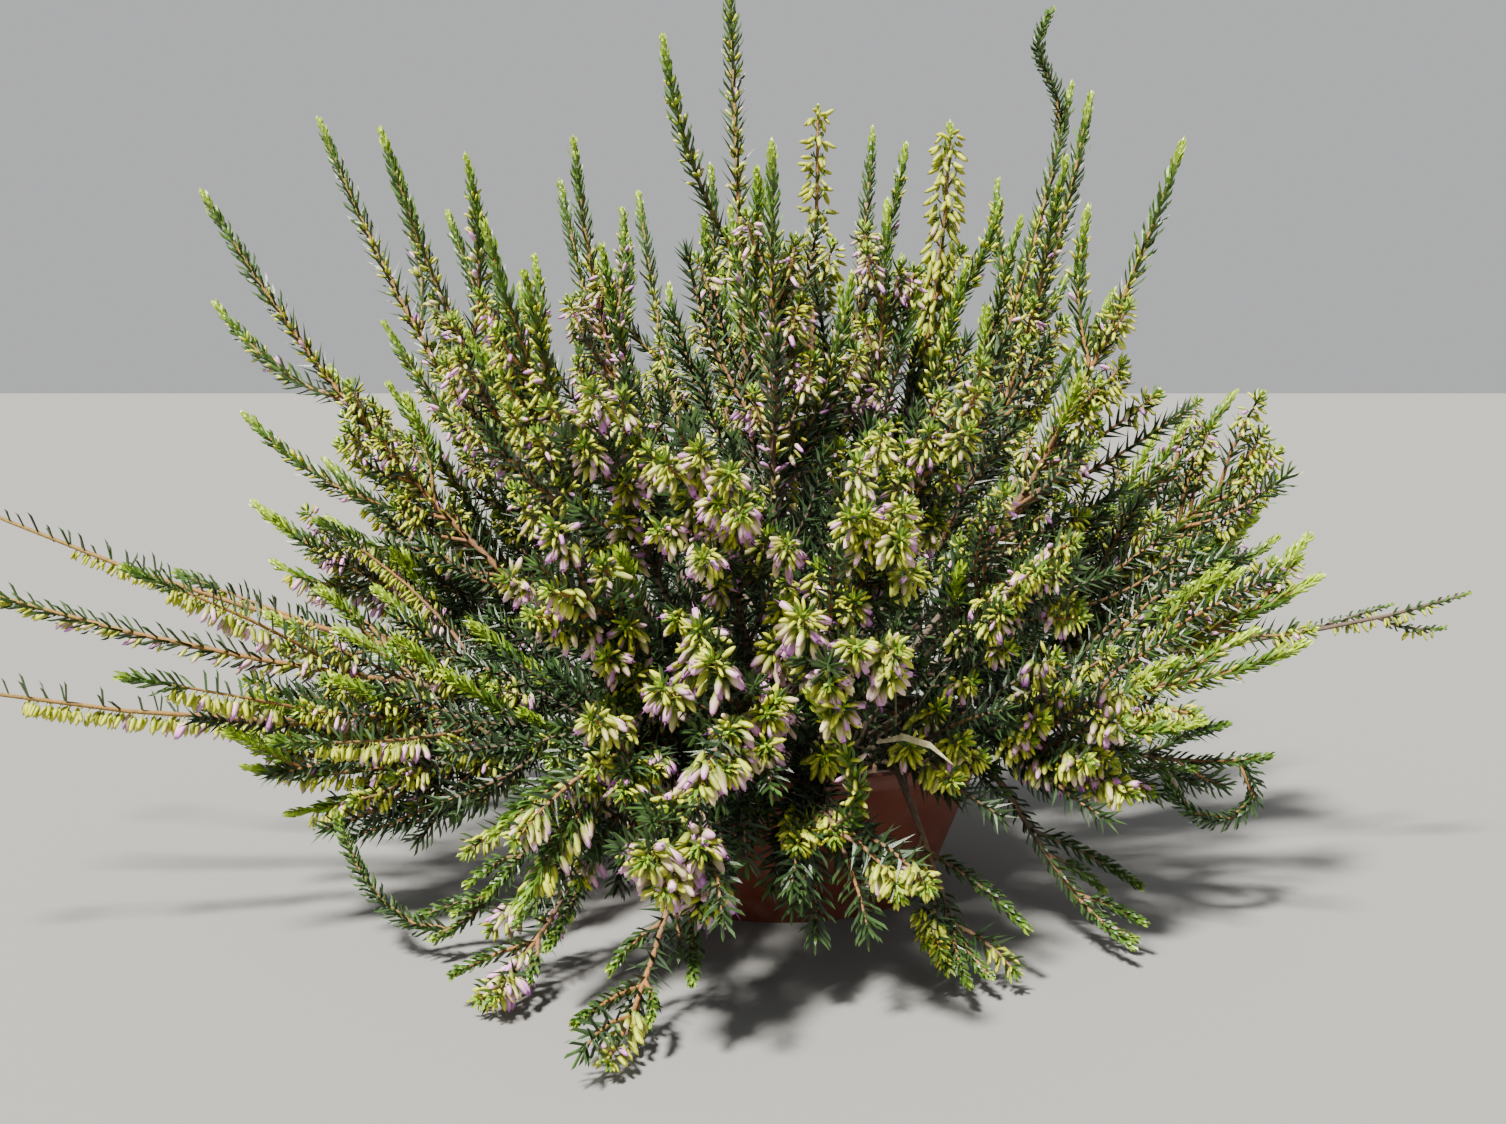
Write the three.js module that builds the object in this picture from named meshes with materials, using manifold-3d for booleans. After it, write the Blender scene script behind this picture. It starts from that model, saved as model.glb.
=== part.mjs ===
// A winter-flowering heath in a low round pot: compost, and branched leafy stems that stand in it.
// Millimetres, +Z up. The origin is the middle of the pot's underside; the viewer stands at -Y.
import * as THREE from 'three';
import { mergeVertices } from 'three/addons/utils/BufferGeometryUtils.js';
import Module from 'manifold-3d';

const wasm = await Module();
wasm.setup();

const vec = (p) => new THREE.Vector3(...p);
const degrees = THREE.MathUtils.degToRad;

// Pot
const POT_HEIGHT = 52;
const RIM_RADIUS = 73;
const BASE_RADIUS = 51;
const POT_WALL = 1.8;
const POT_FLOOR = 2.6;
const LIP_DEPTH = 4.6;
const LIP_REACH = 2.6;
const EDGE_ROUND = 0.8;
const FOOT_RECESS = 1.2;
const CENTRE_PAD_RADIUS = 12;
const STANDING_RING_WIDTH = 9;
const POT_SIDES = 30;
const DRAIN_HOLES = 6;
const DRAIN_RADIUS = 3.5;
const DRAIN_CIRCLE_RADIUS = 27;
const DRAIN_SIDES = 6;

// Compost
const FIT_GAP = 0.35;
const COMPOST_TOP = 45;
const COMPOST_EDGE_DROP = 2;
const COMPOST_FLAT_SHARE = 0.92;
const LUMP_HEIGHT = 0.7;
const LUMP_WAVES = [0.9, 1.1];
const STEM_HOLE_DEPTH = 14;
const STEM_HOLE_SIDES = 5;

// Where the stems stand: the lowest sprays stand furthest out
const FOOT_SPREAD = 50;
const FOOT_GAP = 7;
const FOOT_LIMIT = 54;
const SPACING_ROUNDS = 60;
const LOWEST_RISE = degrees(-24);

// Main stems: how steeply they leave the compost and reach their tips
const STRAIGHT_NECK = 2;
const LEAST_START_RISE = degrees(34);
const NEAR_RIM_START_RISE = degrees(46);
const NEAR_RIM_FOOT = 44;
const MOST_START_RISE = degrees(88);
const END_RISES = [degrees(-60), degrees(89)];
const TRAIL_START_RISE = degrees(62);
const TRAIL_START_HANDLE = 54;

// Side shoots: lengths, and how they spread from the main stem and then turn up beside it
const SHOOTS_PER_SPRAY = 2;
const GOLDEN_ANGLE = degrees(137.508);
const GOLDEN_SHARE = 0.618;
const FIRST_SHARE = 0.37;
const SHOOT_LENGTHS = [26, 80];
const SHOOT_LENGTH_SHARE = 0.6;
const SHOOT_LENGTH_SPREAD = 0.3;
const SHOOT_ANGLE = degrees(44);
const SHOOT_END_SPREAD = 0.22;
const SHOOT_HANDLES = [0.36, 0.32];
const SHOOT_BEND_AT = 0.45;
const TRAIL_SHOOT_TURNS = [degrees(150), degrees(30)];
const SHOOT_BARE = 0.1;
const SHOOT_BELLS = [0.45, 0.8];
const EXTRA_END_FROM = 0.93;

// Stems, needles and bells
const STEM_SIDES = 3;
const WOOD_RADIUS = 1.6;
const LEAFY_RADIUS = 1.7;
const TIP_RADIUS = 0.9;
const SHOOT_ROOT_RADIUS = 1.2;
const BARE_BENDS = 2;
const TRAIL_BENDS = 4;
const WHORL_STEP = 28;
const LAST_WHORL_AT = 0.96;
const FIRST_WHORL_STEP = 0.75;
const WHORL_DEPTH = 1.1;
const NEEDLE_LENGTH = 10;
const NEEDLE_RADIUS = 0.8;
const NEEDLE_SPREAD = degrees(48);
const TIP_CLOSING = 0.5;
const BELL_LENGTH = 10;
const BELL_BELLY_AT = 6.2;
const BELL_RADIUS = 1.5;
const BELL_OUT = 0.75;
const BELL_DROP = 0.6;
const STEEPEST_BELL_ROOT = 0.5;
const CLEARANCE = 0.4;
const SURFACE_CLEARANCE = 0.6;
const RIM_CLEARANCE = 3;

// How a kind of spray grows: degrees on top of its mean rise where it starts and ends, its handles
// as shares of its length, its bare share, where side shoots leave it, how much they turn up, and
// the stretch that bells hang along. A trailing spray's start is given above.
const HABITS = {
  tall: {
    start: -3, end: 2, handles: [0.36, 0.34], bare: 0.36,
    shoots: [0.34, 0.62], lift: 0.3, bells: [0.62, 0.9],
  },
  upright: {
    start: -10, end: 16, handles: [0.36, 0.34], bare: 0.36,
    shoots: [0.34, 0.68], lift: 0.3, bells: [0.5, 0.76],
  },
  side: {
    start: 0, end: 14, handles: [0.32, 0.36], bare: 0.36,
    shoots: [0.34, 0.7], lift: 0.3, bells: [0.55, 0.85],
  },
  long: {
    start: 0, end: 12, handles: [0.16, 0.42], bare: 0.36,
    shoots: [0.26, 0.52], lift: 0.1, bells: [0.45, 0.86],
  },
  dry: {
    start: 0, end: 6, handles: [0.32, 0.36], bare: 0.6,
    shoots: [0.66, 0.86], lift: 0.1, bells: [0.6, 0.93],
  },
  head: {
    start: 0, end: -14, handles: [0.36, 0.34], bare: 0.36,
    shoots: [0.4, 0.7], lift: 0.1, bells: [0.72, 0.97],
  },
  trail: { handles: [0, 0.34], bare: 0.48, shoots: [0.5, 0.8], lift: 0.3, bells: [0.7, 0.96] },
};

// Each spray: its name, where its main stem ends, and its habit.
const SPRAYS = [
  ['tall', [-18, 20, 308], 'tall'],
  ['left_arch', [-194, 10, 231], 'upright'],
  ['left_tall', [-168, 62, 262], 'upright'],
  ['left_second', [-127, -20, 247], 'upright'],
  ['left_pair', [-127, 90, 231], 'upright'],
  ['left_third', [-106, 24, 234], 'upright'],
  ['left_leaning', [-87, -70, 215], 'upright'],
  ['back_left', [-88, 125, 246], 'upright'],
  ['left_centre', [-73, 40, 252], 'upright'],
  ['back_centre', [-58, 150, 244], 'upright'],
  ['behind_tall', [-26, 88, 248], 'upright'],
  ['centre_pair', [-4, -38, 241], 'upright'],
  ['bud_topped', [14, 62, 268], 'upright'],
  ['right_centre', [38, 118, 266], 'upright'],
  ['pink_topped', [34, -8, 226], 'upright'],
  ['bell_tower', [58, 26, 255], 'upright'],
  ['back_right', [108, 134, 236], 'upright'],
  ['wavy_topped', [108, 72, 276], 'upright'],
  ['right_tall', [104, 16, 264], 'upright'],
  ['right_second', [122, -34, 242], 'upright'],
  ['right_side_high', [172, 70, 163], 'upright'],
  ['right_side_middle', [160, 0, 146], 'upright'],
  ['right_side_pink', [178, 34, 112], 'side'],
  ['right_low_back', [164, -50, 110], 'side'],
  ['right_low_front', [148, -86, 96], 'side'],
  ['dry_twig', [234, 0, 98], 'dry'],
  ['curled', [152, -50, 54], 'side'],
  ['long_high', [-300, -6, 144], 'long'],
  ['long_middle', [-284, -56, 122], 'long'],
  ['long_low', [-268, -96, 94], 'long'],
  ['left_side_front', [-190, 40, 124], 'side'],
  ['left_side_back', [-178, 92, 136], 'side'],
  ['left_side_high', [-165, 56, 172], 'upright'],
  ['left_low', [-160, -72, 56], 'side'],
  ['trailing_left', [-104, -88, 9], 'trail'],
  ['trailing_front_left', [-84, -126, 6], 'trail'],
  ['trailing_front', [-46, -164, 6], 'trail'],
  ['trailing_right', [104, -80, 6], 'trail'],
  ['trailing_under', [56, -114, 8], 'trail'],
  ['head_low_centre', [-16, -142, 84], 'head'],
  ['head_low_left', [-52, -132, 72], 'head'],
  ['head_big', [-32, -165, 50], 'head'],
  ['head_over_rim', [12, -122, 50], 'head'],
  ['head_rim_right', [46, -110, 62], 'head'],
  ['head_low_right', [94, -88, 62], 'head'],
  ['head_high_left', [-24, -132, 156], 'head'],
  ['head_high_right', [28, -146, 142], 'head'],
  ['head_middle', [16, -152, 108], 'head'],
  ['head_middle_left', [-62, -136, 120], 'head'],
  ['head_middle_right', [76, -118, 130], 'head'],
  ['head_top_left', [-66, -104, 166], 'head'],
  ['head_top_right', [54, -92, 170], 'head'],
  ['rear_low_centre', [-30, 178, 90], 'side'],
  ['rear_low_right', [60, 170, 110], 'side'],
  ['rear_right', [120, 128, 150], 'upright'],
  ['rear_low_left', [-110, 140, 100], 'side'],
  ['rear_upper', [10, 150, 180], 'upright'],
  ['rear_side_right', [128, 110, 70], 'side'],
];

// Ends that go on past the main stem's own curve: the rest of a cubic curve, after the stem's end.
const EXTRA_ENDS = {
  wavy_topped: [[106, 72, 286], [88, 72, 284], [100, 72, 304]],
  curled: [[158, -58, 38], [126, -56, 22], [118, -54, 52]],
  trailing_left: [[-116, -86, 9], [-128, -80, 24], [-134, -76, 42]],
};

const UP = vec([0, 0, 1]);
const HEART = vec([0, 0, COMPOST_TOP]);

// A repeatable draw between 0 and 1 for a spray, a shoot on it and a use.
function draw(spray, shoot, use) {
  const wave = Math.sin(spray * 12.9898 + shoot * 78.233 + use * 37.719) * 43758.5453;
  return wave - Math.floor(wave);
}

const aim = (turn, rise) =>
  vec([Math.cos(turn) * Math.cos(rise), Math.sin(turn) * Math.cos(rise), Math.sin(rise)]);

// Turns a three.js geometry into a solid that can be joined and cut.
function solidOf(geometry) {
  geometry.deleteAttribute('normal');
  geometry.deleteAttribute('uv');
  const merged = mergeVertices(geometry, 1e-5);
  return new wasm.Manifold(new wasm.Mesh({
    numProp: 3,
    vertProperties: new Float32Array(merged.attributes.position.array),
    triVerts: new Uint32Array(merged.index.array),
  }));
}

function geometryOf(solid) {
  const mesh = solid.getMesh();
  const geometry = new THREE.BufferGeometry();
  geometry.setAttribute('position', new THREE.BufferAttribute(mesh.vertProperties, 3));
  geometry.setIndex(new THREE.BufferAttribute(mesh.triVerts, 1));
  geometry.computeVertexNormals();
  return geometry;
}

// The largest piece of a fused solid: sealed hollows and loose scraps are left out.
function wholeOf(solid) {
  return solid.decompose().sort((a, b) => b.volume() - a.volume())[0];
}

// A direction at right angles to a stem: level where the stem isn't upright.
function levelAcross(along) {
  const level = new THREE.Vector3().crossVectors(along, UP);
  return level.lengthSq() > 0.05 ? level.normalize() : vec([1, 0, 0]);
}

// A direction out of a stem at an angle round it, 0 being level and a quarter turn being above it.
function outOf(along, turn) {
  const level = levelAcross(along);
  const above = new THREE.Vector3().crossVectors(level, along);
  return level.multiplyScalar(Math.cos(turn)).addScaledVector(above, Math.sin(turn)).normalize();
}

// A curve from a start to an end that leaves and arrives in given directions.
function bentCurve(start, out, startHandle, end, on, endHandle) {
  return new THREE.CubicBezierCurve3(
    start,
    start.clone().addScaledVector(out, startHandle),
    end.clone().addScaledVector(on, -endHandle),
    end,
  );
}

// The rise of a spray's tip over the heart of the plant, and its turn round it.
function bearing([x, y, z]) {
  return { rise: Math.atan2(z - HEART.z, Math.hypot(x, y)), turn: Math.atan2(y, x) };
}

// Feet share the compost out as the sprays share out the sky, and are then spaced apart.
function footPlaces() {
  const feet = SPRAYS.map(([, tip]) => {
    const { rise, turn } = bearing(tip);
    const share = (1 - Math.sin(rise)) / (1 - Math.sin(LOWEST_RISE));
    const radius = FOOT_SPREAD * Math.sqrt(share);
    return new THREE.Vector2(radius * Math.cos(turn), radius * Math.sin(turn));
  });
  for (let round = 0; round < SPACING_ROUNDS; round++) {
    for (let i = 0; i < feet.length; i++) {
      for (let j = 0; j < i; j++) {
        const apart = feet[i].clone().sub(feet[j]);
        const short = FOOT_GAP - apart.length();
        if (short > 0) {
          apart.setLength(short / 2);
          feet[i].add(apart);
          feet[j].sub(apart);
        }
      }
    }
    feet.forEach((foot) => foot.clampLength(0, FOOT_LIMIT));
  }
  return feet;
}

// The main stem above the compost.
function mainCurve(tip, habit, foot) {
  const { rise, turn } = bearing(tip);
  const start = new THREE.Vector3(foot.x, foot.y, COMPOST_TOP + STRAIGHT_NECK);
  const end = vec(tip);
  const length = end.distanceTo(start);
  const endHandle = length * habit.handles[1];
  if (habit === HABITS.trail) {
    return bentCurve(start, aim(turn, TRAIL_START_RISE), TRAIL_START_HANDLE, end, aim(turn, 0), endHandle);
  }
  const lowest = foot.length() > NEAR_RIM_FOOT ? NEAR_RIM_START_RISE : LEAST_START_RISE;
  const startRise = THREE.MathUtils.clamp(rise + degrees(habit.start), lowest, MOST_START_RISE);
  const endRise = THREE.MathUtils.clamp(rise + degrees(habit.end), ...END_RISES);
  const startHandle = length * habit.handles[0];
  return bentCurve(start, aim(turn, startRise), startHandle, end, aim(turn, endRise), endHandle);
}

// A side shoot that leaves the main stem, spreads from it and turns up beside it.
function shootCurve(main, habit, spray, k) {
  const [first, last] = habit.shoots;
  const at = first + (last - first) * ((FIRST_SHARE + GOLDEN_SHARE * k) % 1);
  const root = main.getPoint(at);
  const along = main.getTangent(at);
  const turn = habit === HABITS.trail
    ? TRAIL_SHOOT_TURNS[k % 2]
    : k * GOLDEN_ANGLE + 2 * Math.PI * draw(spray, k, 1);
  const out = outOf(along, turn);
  const share = SHOOT_LENGTH_SHARE + SHOOT_LENGTH_SPREAD * draw(spray, k, 2);
  const reach = THREE.MathUtils.clamp(main.getLength() * (1 - at) * share, ...SHOOT_LENGTHS);
  const leave = along.clone().multiplyScalar(Math.cos(SHOOT_ANGLE));
  leave.addScaledVector(out, Math.sin(SHOOT_ANGLE));
  const on = along.clone().addScaledVector(out, SHOOT_END_SPREAD).addScaledVector(UP, habit.lift).normalize();
  const end = root.clone()
    .addScaledVector(leave, reach * SHOOT_BEND_AT)
    .addScaledVector(on, reach * (1 - SHOOT_BEND_AT));
  return bentCurve(root, leave, reach * SHOOT_HANDLES[0], end, on, reach * SHOOT_HANDLES[1]);
}

// All limbs of a spray: curves with the share of each that is bare wood, and where bells hang.
function limbsOf([name, tip, habitName], spray, foot) {
  const habit = HABITS[habitName];
  const main = mainCurve(tip, habit, foot);
  const bends = habit === HABITS.trail ? TRAIL_BENDS : BARE_BENDS;
  const limbs = [{ curve: main, bare: habit.bare, bells: habit.bells, foot, bends }];
  for (let k = 0; k < SHOOTS_PER_SPRAY; k++) {
    limbs.push({ curve: shootCurve(main, habit, spray, k), bare: SHOOT_BARE, bells: SHOOT_BELLS });
  }
  if (EXTRA_ENDS[name]) {
    const curve = new THREE.CubicBezierCurve3(main.getPoint(EXTRA_END_FROM), ...EXTRA_ENDS[name].map(vec));
    limbs.push({ curve, bare: 0, bells: [1, 1] });
  }
  return limbs;
}

// The shortest distance between two straight pieces.
function distanceBetween(a, b, c, d) {
  const u = b.clone().sub(a);
  const v = d.clone().sub(c);
  const w = a.clone().sub(c);
  const uu = u.dot(u);
  const uv = u.dot(v);
  const vv = v.dot(v);
  const uw = u.dot(w);
  const vw = v.dot(w);
  const across = uu * vv - uv * uv;
  let s = across > 1e-9 ? THREE.MathUtils.clamp((uv * vw - vv * uw) / across, 0, 1) : 0;
  const t = THREE.MathUtils.clamp((uv * s + vw) / vv, 0, 1);
  s = THREE.MathUtils.clamp((uv * t - uw) / uu, 0, 1);
  return a.clone().addScaledVector(u, s).distanceTo(c.clone().addScaledVector(v, t));
}

// Straight pieces that are already taken up, each with its limb and radius.
const taken = [];

// Whether a needle or bell would stay clear of the pot, the surface and every other limb.
function isClear(limb, root, tip, radius) {
  const low = [root, tip].some((p) => {
    const overPot = Math.hypot(p.x, p.y) < RIM_RADIUS + RIM_CLEARANCE;
    return p.z < (overPot ? POT_HEIGHT : 0) + SURFACE_CLEARANCE + radius;
  });
  if (low) return false;
  return taken.every((other) => other.limb === limb
    || distanceBetween(root, tip, other.a, other.b) > radius + other.radius + CLEARANCE);
}

// The rings of a limb: bare wood first, then two rings close together for each whorl.
function ringsOf({ curve, bare, foot, bends }) {
  const ringAt = (at, radius) => ({ spot: curve.getPoint(at), along: curve.getTangent(at), radius, turn: 0 });
  const rings = [];
  if (foot) {
    const bottom = new THREE.Vector3(foot.x, foot.y, COMPOST_TOP - STEM_HOLE_DEPTH);
    rings.push({ spot: bottom, along: UP, radius: WOOD_RADIUS, turn: 0 });
    rings.push({ ...ringAt(0, WOOD_RADIUS), along: UP });
    for (let i = 1; i < bends; i++) rings.push(ringAt(bare * i / bends, WOOD_RADIUS));
  } else {
    rings.push(ringAt(0, SHOOT_ROOT_RADIUS));
  }
  const whorls = Math.max(1, Math.round(curve.getLength() * (1 - bare) / WHORL_STEP));
  for (let i = 0; i < whorls; i++) {
    const step = (i + FIRST_WHORL_STEP) / (whorls - 1 + FIRST_WHORL_STEP);
    const at = bare + (LAST_WHORL_AT - bare) * step;
    const radius = THREE.MathUtils.lerp(LEAFY_RADIUS, TIP_RADIUS, step ** 2);
    const ring = { ...ringAt(at, radius), turn: (i + 1) * Math.PI / STEM_SIDES };
    rings.push({ ...ring, whorl: at });
    rings.push({ ...ring, spot: ring.spot.clone().addScaledVector(ring.along, WHORL_DEPTH) });
  }
  return rings;
}

// The faces of a bell that hangs from a side of a whorl, or nothing where it wouldn't be clear.
function bellFaces(limb, middle, out, corners, spots, add) {
  const way = out.clone().multiplyScalar(BELL_OUT).addScaledVector(UP, -BELL_DROP).normalize();
  const tip = middle.clone().addScaledVector(way, BELL_LENGTH);
  if (!isClear(limb, middle, tip, BELL_RADIUS)) return null;
  taken.push({ limb, a: middle, b: tip, radius: BELL_RADIUS });
  const side = spots[corners[1]].clone().sub(spots[corners[0]]);
  side.addScaledVector(way, -side.dot(way)).normalize();
  const over = new THREE.Vector3().crossVectors(way, side);
  const half = BELL_RADIUS * Math.SQRT1_2;
  const belly = [[-1, -1], [1, -1], [1, 1], [-1, 1]].map(([s, o]) => add(middle.clone()
    .addScaledVector(way, BELL_BELLY_AT)
    .addScaledVector(side, s * half)
    .addScaledVector(over, o * half)));
  const end = add(tip);
  return corners.flatMap((corner, k) => {
    const n = (k + 1) % 4;
    return [[corner, corners[n], belly[n]], [corner, belly[n], belly[k]], [belly[k], belly[n], end]];
  });
}

// The faces of a needle on a side of a whorl, or nothing where it wouldn't be clear.
function needleFaces(limb, middle, out, ring, corners, add) {
  const spread = NEEDLE_SPREAD * (1 - TIP_CLOSING * ring.whorl ** 4);
  const way = ring.along.clone().multiplyScalar(Math.cos(spread)).addScaledVector(out, Math.sin(spread));
  const tip = middle.clone().addScaledVector(way, NEEDLE_LENGTH);
  if (!isClear(limb, middle, tip, NEEDLE_RADIUS)) return null;
  taken.push({ limb, a: middle, b: tip, radius: NEEDLE_RADIUS });
  const end = add(tip);
  return corners.map((corner, k) => [corner, corners[(k + 1) % 4], end]);
}

// What grows from a side of a whorl: a bell under the flowering stretch, and elsewhere a needle.
function grownFaces(limb, ring, corners, spots, add) {
  const middle = new THREE.Vector3();
  corners.forEach((corner) => middle.addScaledVector(spots[corner], 1 / corners.length));
  const out = middle.clone().sub(ring.spot).addScaledVector(ring.along, -WHORL_DEPTH / 2).normalize();
  const inBells = ring.whorl > limb.bells[0] && ring.whorl < limb.bells[1];
  if (inBells && out.z < STEEPEST_BELL_ROOT) return bellFaces(limb, middle, out, corners, spots, add);
  return needleFaces(limb, middle, out, ring, corners, add);
}

// A limb with its needles and bells raised from its sides, as one closed solid.
function limbSolid(limb) {
  const { curve, rings } = limb;
  const spots = [];
  const faces = [];
  const add = (spot) => spots.push(spot) - 1;
  const across = levelAcross(curve.getTangent(0.5));
  const rows = rings.map(({ spot, along, radius, turn }) => {
    const u = across.clone().addScaledVector(along, -across.dot(along)).normalize();
    const v = new THREE.Vector3().crossVectors(along, u);
    return Array.from({ length: STEM_SIDES }, (_, k) => {
      const angle = turn + 2 * Math.PI * k / STEM_SIDES;
      const corner = spot.clone().addScaledVector(u, radius * Math.cos(angle));
      return add(corner.addScaledVector(v, radius * Math.sin(angle)));
    });
  });
  faces.push([rows[0][0], rows[0][2], rows[0][1]]);
  for (let i = 0; i + 1 < rows.length; i++) {
    for (let k = 0; k < STEM_SIDES; k++) {
      const n = (k + 1) % STEM_SIDES;
      const corners = [rows[i][k], rows[i][n], rows[i + 1][n], rows[i + 1][k]];
      const plain = [[corners[0], corners[1], corners[3]], [corners[1], corners[2], corners[3]]];
      const grows = rings[i].whorl !== undefined;
      const grown = grows ? grownFaces(limb, rings[i], corners, spots, add) : null;
      faces.push(...(grown ?? plain));
    }
  }
  const tip = add(curve.getPoint(1));
  const last = rows[rows.length - 1];
  for (let k = 0; k < STEM_SIDES; k++) faces.push([last[k], last[(k + 1) % STEM_SIDES], tip]);
  const geometry = new THREE.BufferGeometry().setFromPoints(spots);
  geometry.setIndex(faces.flat());
  return solidOf(geometry);
}

function latheOf(profile) {
  const points = profile.map(([r, z]) => new THREE.Vector2(r, z));
  return new THREE.LatheGeometry(points, POT_SIDES).rotateX(Math.PI / 2);
}

// A plain upright hole's filling, to be cut away.
function uprightPlug(x, y, bottom, top, radius, sides) {
  const plug = new THREE.CylinderGeometry(radius, radius, top - bottom, sides).rotateX(Math.PI / 2);
  return solidOf(plug.translate(x, y, (top + bottom) / 2));
}

const POT_INNER_TOP = RIM_RADIUS - LIP_REACH - POT_WALL;
const POT_INNER_BOTTOM = BASE_RADIUS - POT_WALL;

// A tapered wall with a lip, a floor with drainage holes, a standing ring and a centre pad.
function potSolid() {
  const ringInner = BASE_RADIUS - STANDING_RING_WIDTH;
  const lipBottom = POT_HEIGHT - LIP_DEPTH;
  let pot = solidOf(latheOf([
    [0, 0],
    [CENTRE_PAD_RADIUS, 0],
    [CENTRE_PAD_RADIUS + FOOT_RECESS, FOOT_RECESS],
    [ringInner - FOOT_RECESS, FOOT_RECESS],
    [ringInner, 0],
    [BASE_RADIUS, 0],
    [BASE_RADIUS + EDGE_ROUND, EDGE_ROUND],
    [RIM_RADIUS - LIP_REACH, lipBottom],
    [RIM_RADIUS, lipBottom],
    [RIM_RADIUS, POT_HEIGHT - EDGE_ROUND],
    [RIM_RADIUS - EDGE_ROUND, POT_HEIGHT],
    [POT_INNER_TOP + EDGE_ROUND, POT_HEIGHT],
    [POT_INNER_TOP, POT_HEIGHT - EDGE_ROUND],
    [POT_INNER_BOTTOM, POT_FLOOR],
    [0, POT_FLOOR],
  ]));
  for (let i = 0; i < DRAIN_HOLES; i++) {
    const turn = 2 * Math.PI * (i + 0.5) / DRAIN_HOLES;
    const x = DRAIN_CIRCLE_RADIUS * Math.cos(turn);
    const y = DRAIN_CIRCLE_RADIUS * Math.sin(turn);
    pot = pot.subtract(uprightPlug(x, y, -POT_FLOOR, 2 * POT_FLOOR, DRAIN_RADIUS, DRAIN_SIDES));
  }
  return pot;
}

// The radius at a height that just clears the flat sides of the pot's inner wall.
function compostRadius(height) {
  const share = (height - POT_FLOOR) / (POT_HEIGHT - EDGE_ROUND - POT_FLOOR);
  const wall = THREE.MathUtils.lerp(POT_INNER_BOTTOM, POT_INNER_TOP, share);
  return wall * Math.cos(Math.PI / POT_SIDES) - FIT_GAP;
}

// The potting mix, lumpy on top, with a blind hole for the foot of each stem.
function compostSolid(feet) {
  const bottom = POT_FLOOR + FIT_GAP;
  const edge = COMPOST_TOP - COMPOST_EDGE_DROP;
  const geometry = latheOf([
    [0, bottom],
    [compostRadius(bottom), bottom],
    [compostRadius(edge), edge],
    [compostRadius(edge) * COMPOST_FLAT_SHARE, COMPOST_TOP],
    [0, COMPOST_TOP],
  ]);
  const spots = geometry.attributes.position;
  for (let i = 0; i < spots.count; i++) {
    if (spots.getZ(i) < COMPOST_TOP) continue;
    const lump = Math.sin(spots.getX(i) * LUMP_WAVES[0]) * Math.cos(spots.getY(i) * LUMP_WAVES[1]);
    spots.setZ(i, COMPOST_TOP + LUMP_HEIGHT * lump);
  }
  const holeTop = COMPOST_TOP + 3 * LUMP_HEIGHT;
  const holeBottom = COMPOST_TOP - STEM_HOLE_DEPTH - FIT_GAP;
  const holeRadius = (WOOD_RADIUS + FIT_GAP) / Math.cos(Math.PI / STEM_HOLE_SIDES);
  let compost = solidOf(geometry);
  for (const { x, y } of feet) {
    compost = compost.subtract(uprightPlug(x, y, holeBottom, holeTop, holeRadius, STEM_HOLE_SIDES));
  }
  return compost;
}

const potPlastic = new THREE.MeshStandardMaterial({ color: 0x7a3b30, roughness: 0.7, metalness: 0 });
const peat = new THREE.MeshStandardMaterial({ color: 0x2e2018, roughness: 0.95, metalness: 0 });
const leaf = new THREE.MeshStandardMaterial({ color: 0x4f6b2c, roughness: 0.6, metalness: 0 });
const dryWood = new THREE.MeshStandardMaterial({ color: 0x8a6b4c, roughness: 0.8, metalness: 0 });

const plant = new THREE.Group();

function addNode(name, solid, material) {
  const mesh = new THREE.Mesh(geometryOf(solid), material);
  mesh.name = name;
  plant.add(mesh);
}

const feet = footPlaces();
addNode('pot', potSolid(), potPlastic);
addNode('compost', compostSolid(feet), peat);

const sprays = SPRAYS.map((row, spray) => {
  const [name, , habitName] = row;
  const limbs = limbsOf(row, spray, feet[spray]);
  for (const limb of limbs) {
    limb.rings = ringsOf(limb);
    const spine = [...limb.rings.map((ring) => ring.spot), limb.curve.getPoint(1)];
    for (let i = 0; i + 1 < spine.length; i++) {
      taken.push({ limb, a: spine[i], b: spine[i + 1], radius: limb.rings[i].radius });
    }
  }
  return { name: `spray_${name}`, limbs, material: habitName === 'dry' ? dryWood : leaf };
});

for (const { name, limbs, material } of sprays) {
  const solids = limbs.map(limbSolid);
  addNode(name, wholeOf(solids.reduce((whole, piece) => whole.add(piece))), material);
}

export default plant;
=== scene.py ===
import math

import bpy
import numpy as np
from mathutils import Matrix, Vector


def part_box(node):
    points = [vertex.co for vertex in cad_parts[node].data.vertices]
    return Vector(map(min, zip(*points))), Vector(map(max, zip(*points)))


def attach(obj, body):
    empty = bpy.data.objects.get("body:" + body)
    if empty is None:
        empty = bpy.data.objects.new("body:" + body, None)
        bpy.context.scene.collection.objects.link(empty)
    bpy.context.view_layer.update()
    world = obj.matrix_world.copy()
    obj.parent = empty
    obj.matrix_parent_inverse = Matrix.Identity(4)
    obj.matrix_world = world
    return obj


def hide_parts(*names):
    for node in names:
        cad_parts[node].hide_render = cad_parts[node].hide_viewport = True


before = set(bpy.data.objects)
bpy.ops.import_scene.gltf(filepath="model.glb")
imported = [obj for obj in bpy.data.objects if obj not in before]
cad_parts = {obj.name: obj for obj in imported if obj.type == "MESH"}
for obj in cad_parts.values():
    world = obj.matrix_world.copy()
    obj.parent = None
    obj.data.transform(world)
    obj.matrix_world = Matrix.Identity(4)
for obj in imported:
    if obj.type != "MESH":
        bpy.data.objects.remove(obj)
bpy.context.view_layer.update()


# The pot. One low, round pot of terracotta-brown plastic, moulded in one piece: a thin tapered wall
# under a thick lip, a floor with six drainage holes, and a ring and a pad that it stands on.
_, pot_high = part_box("pot")
POT_HEIGHT = pot_high.z
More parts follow.
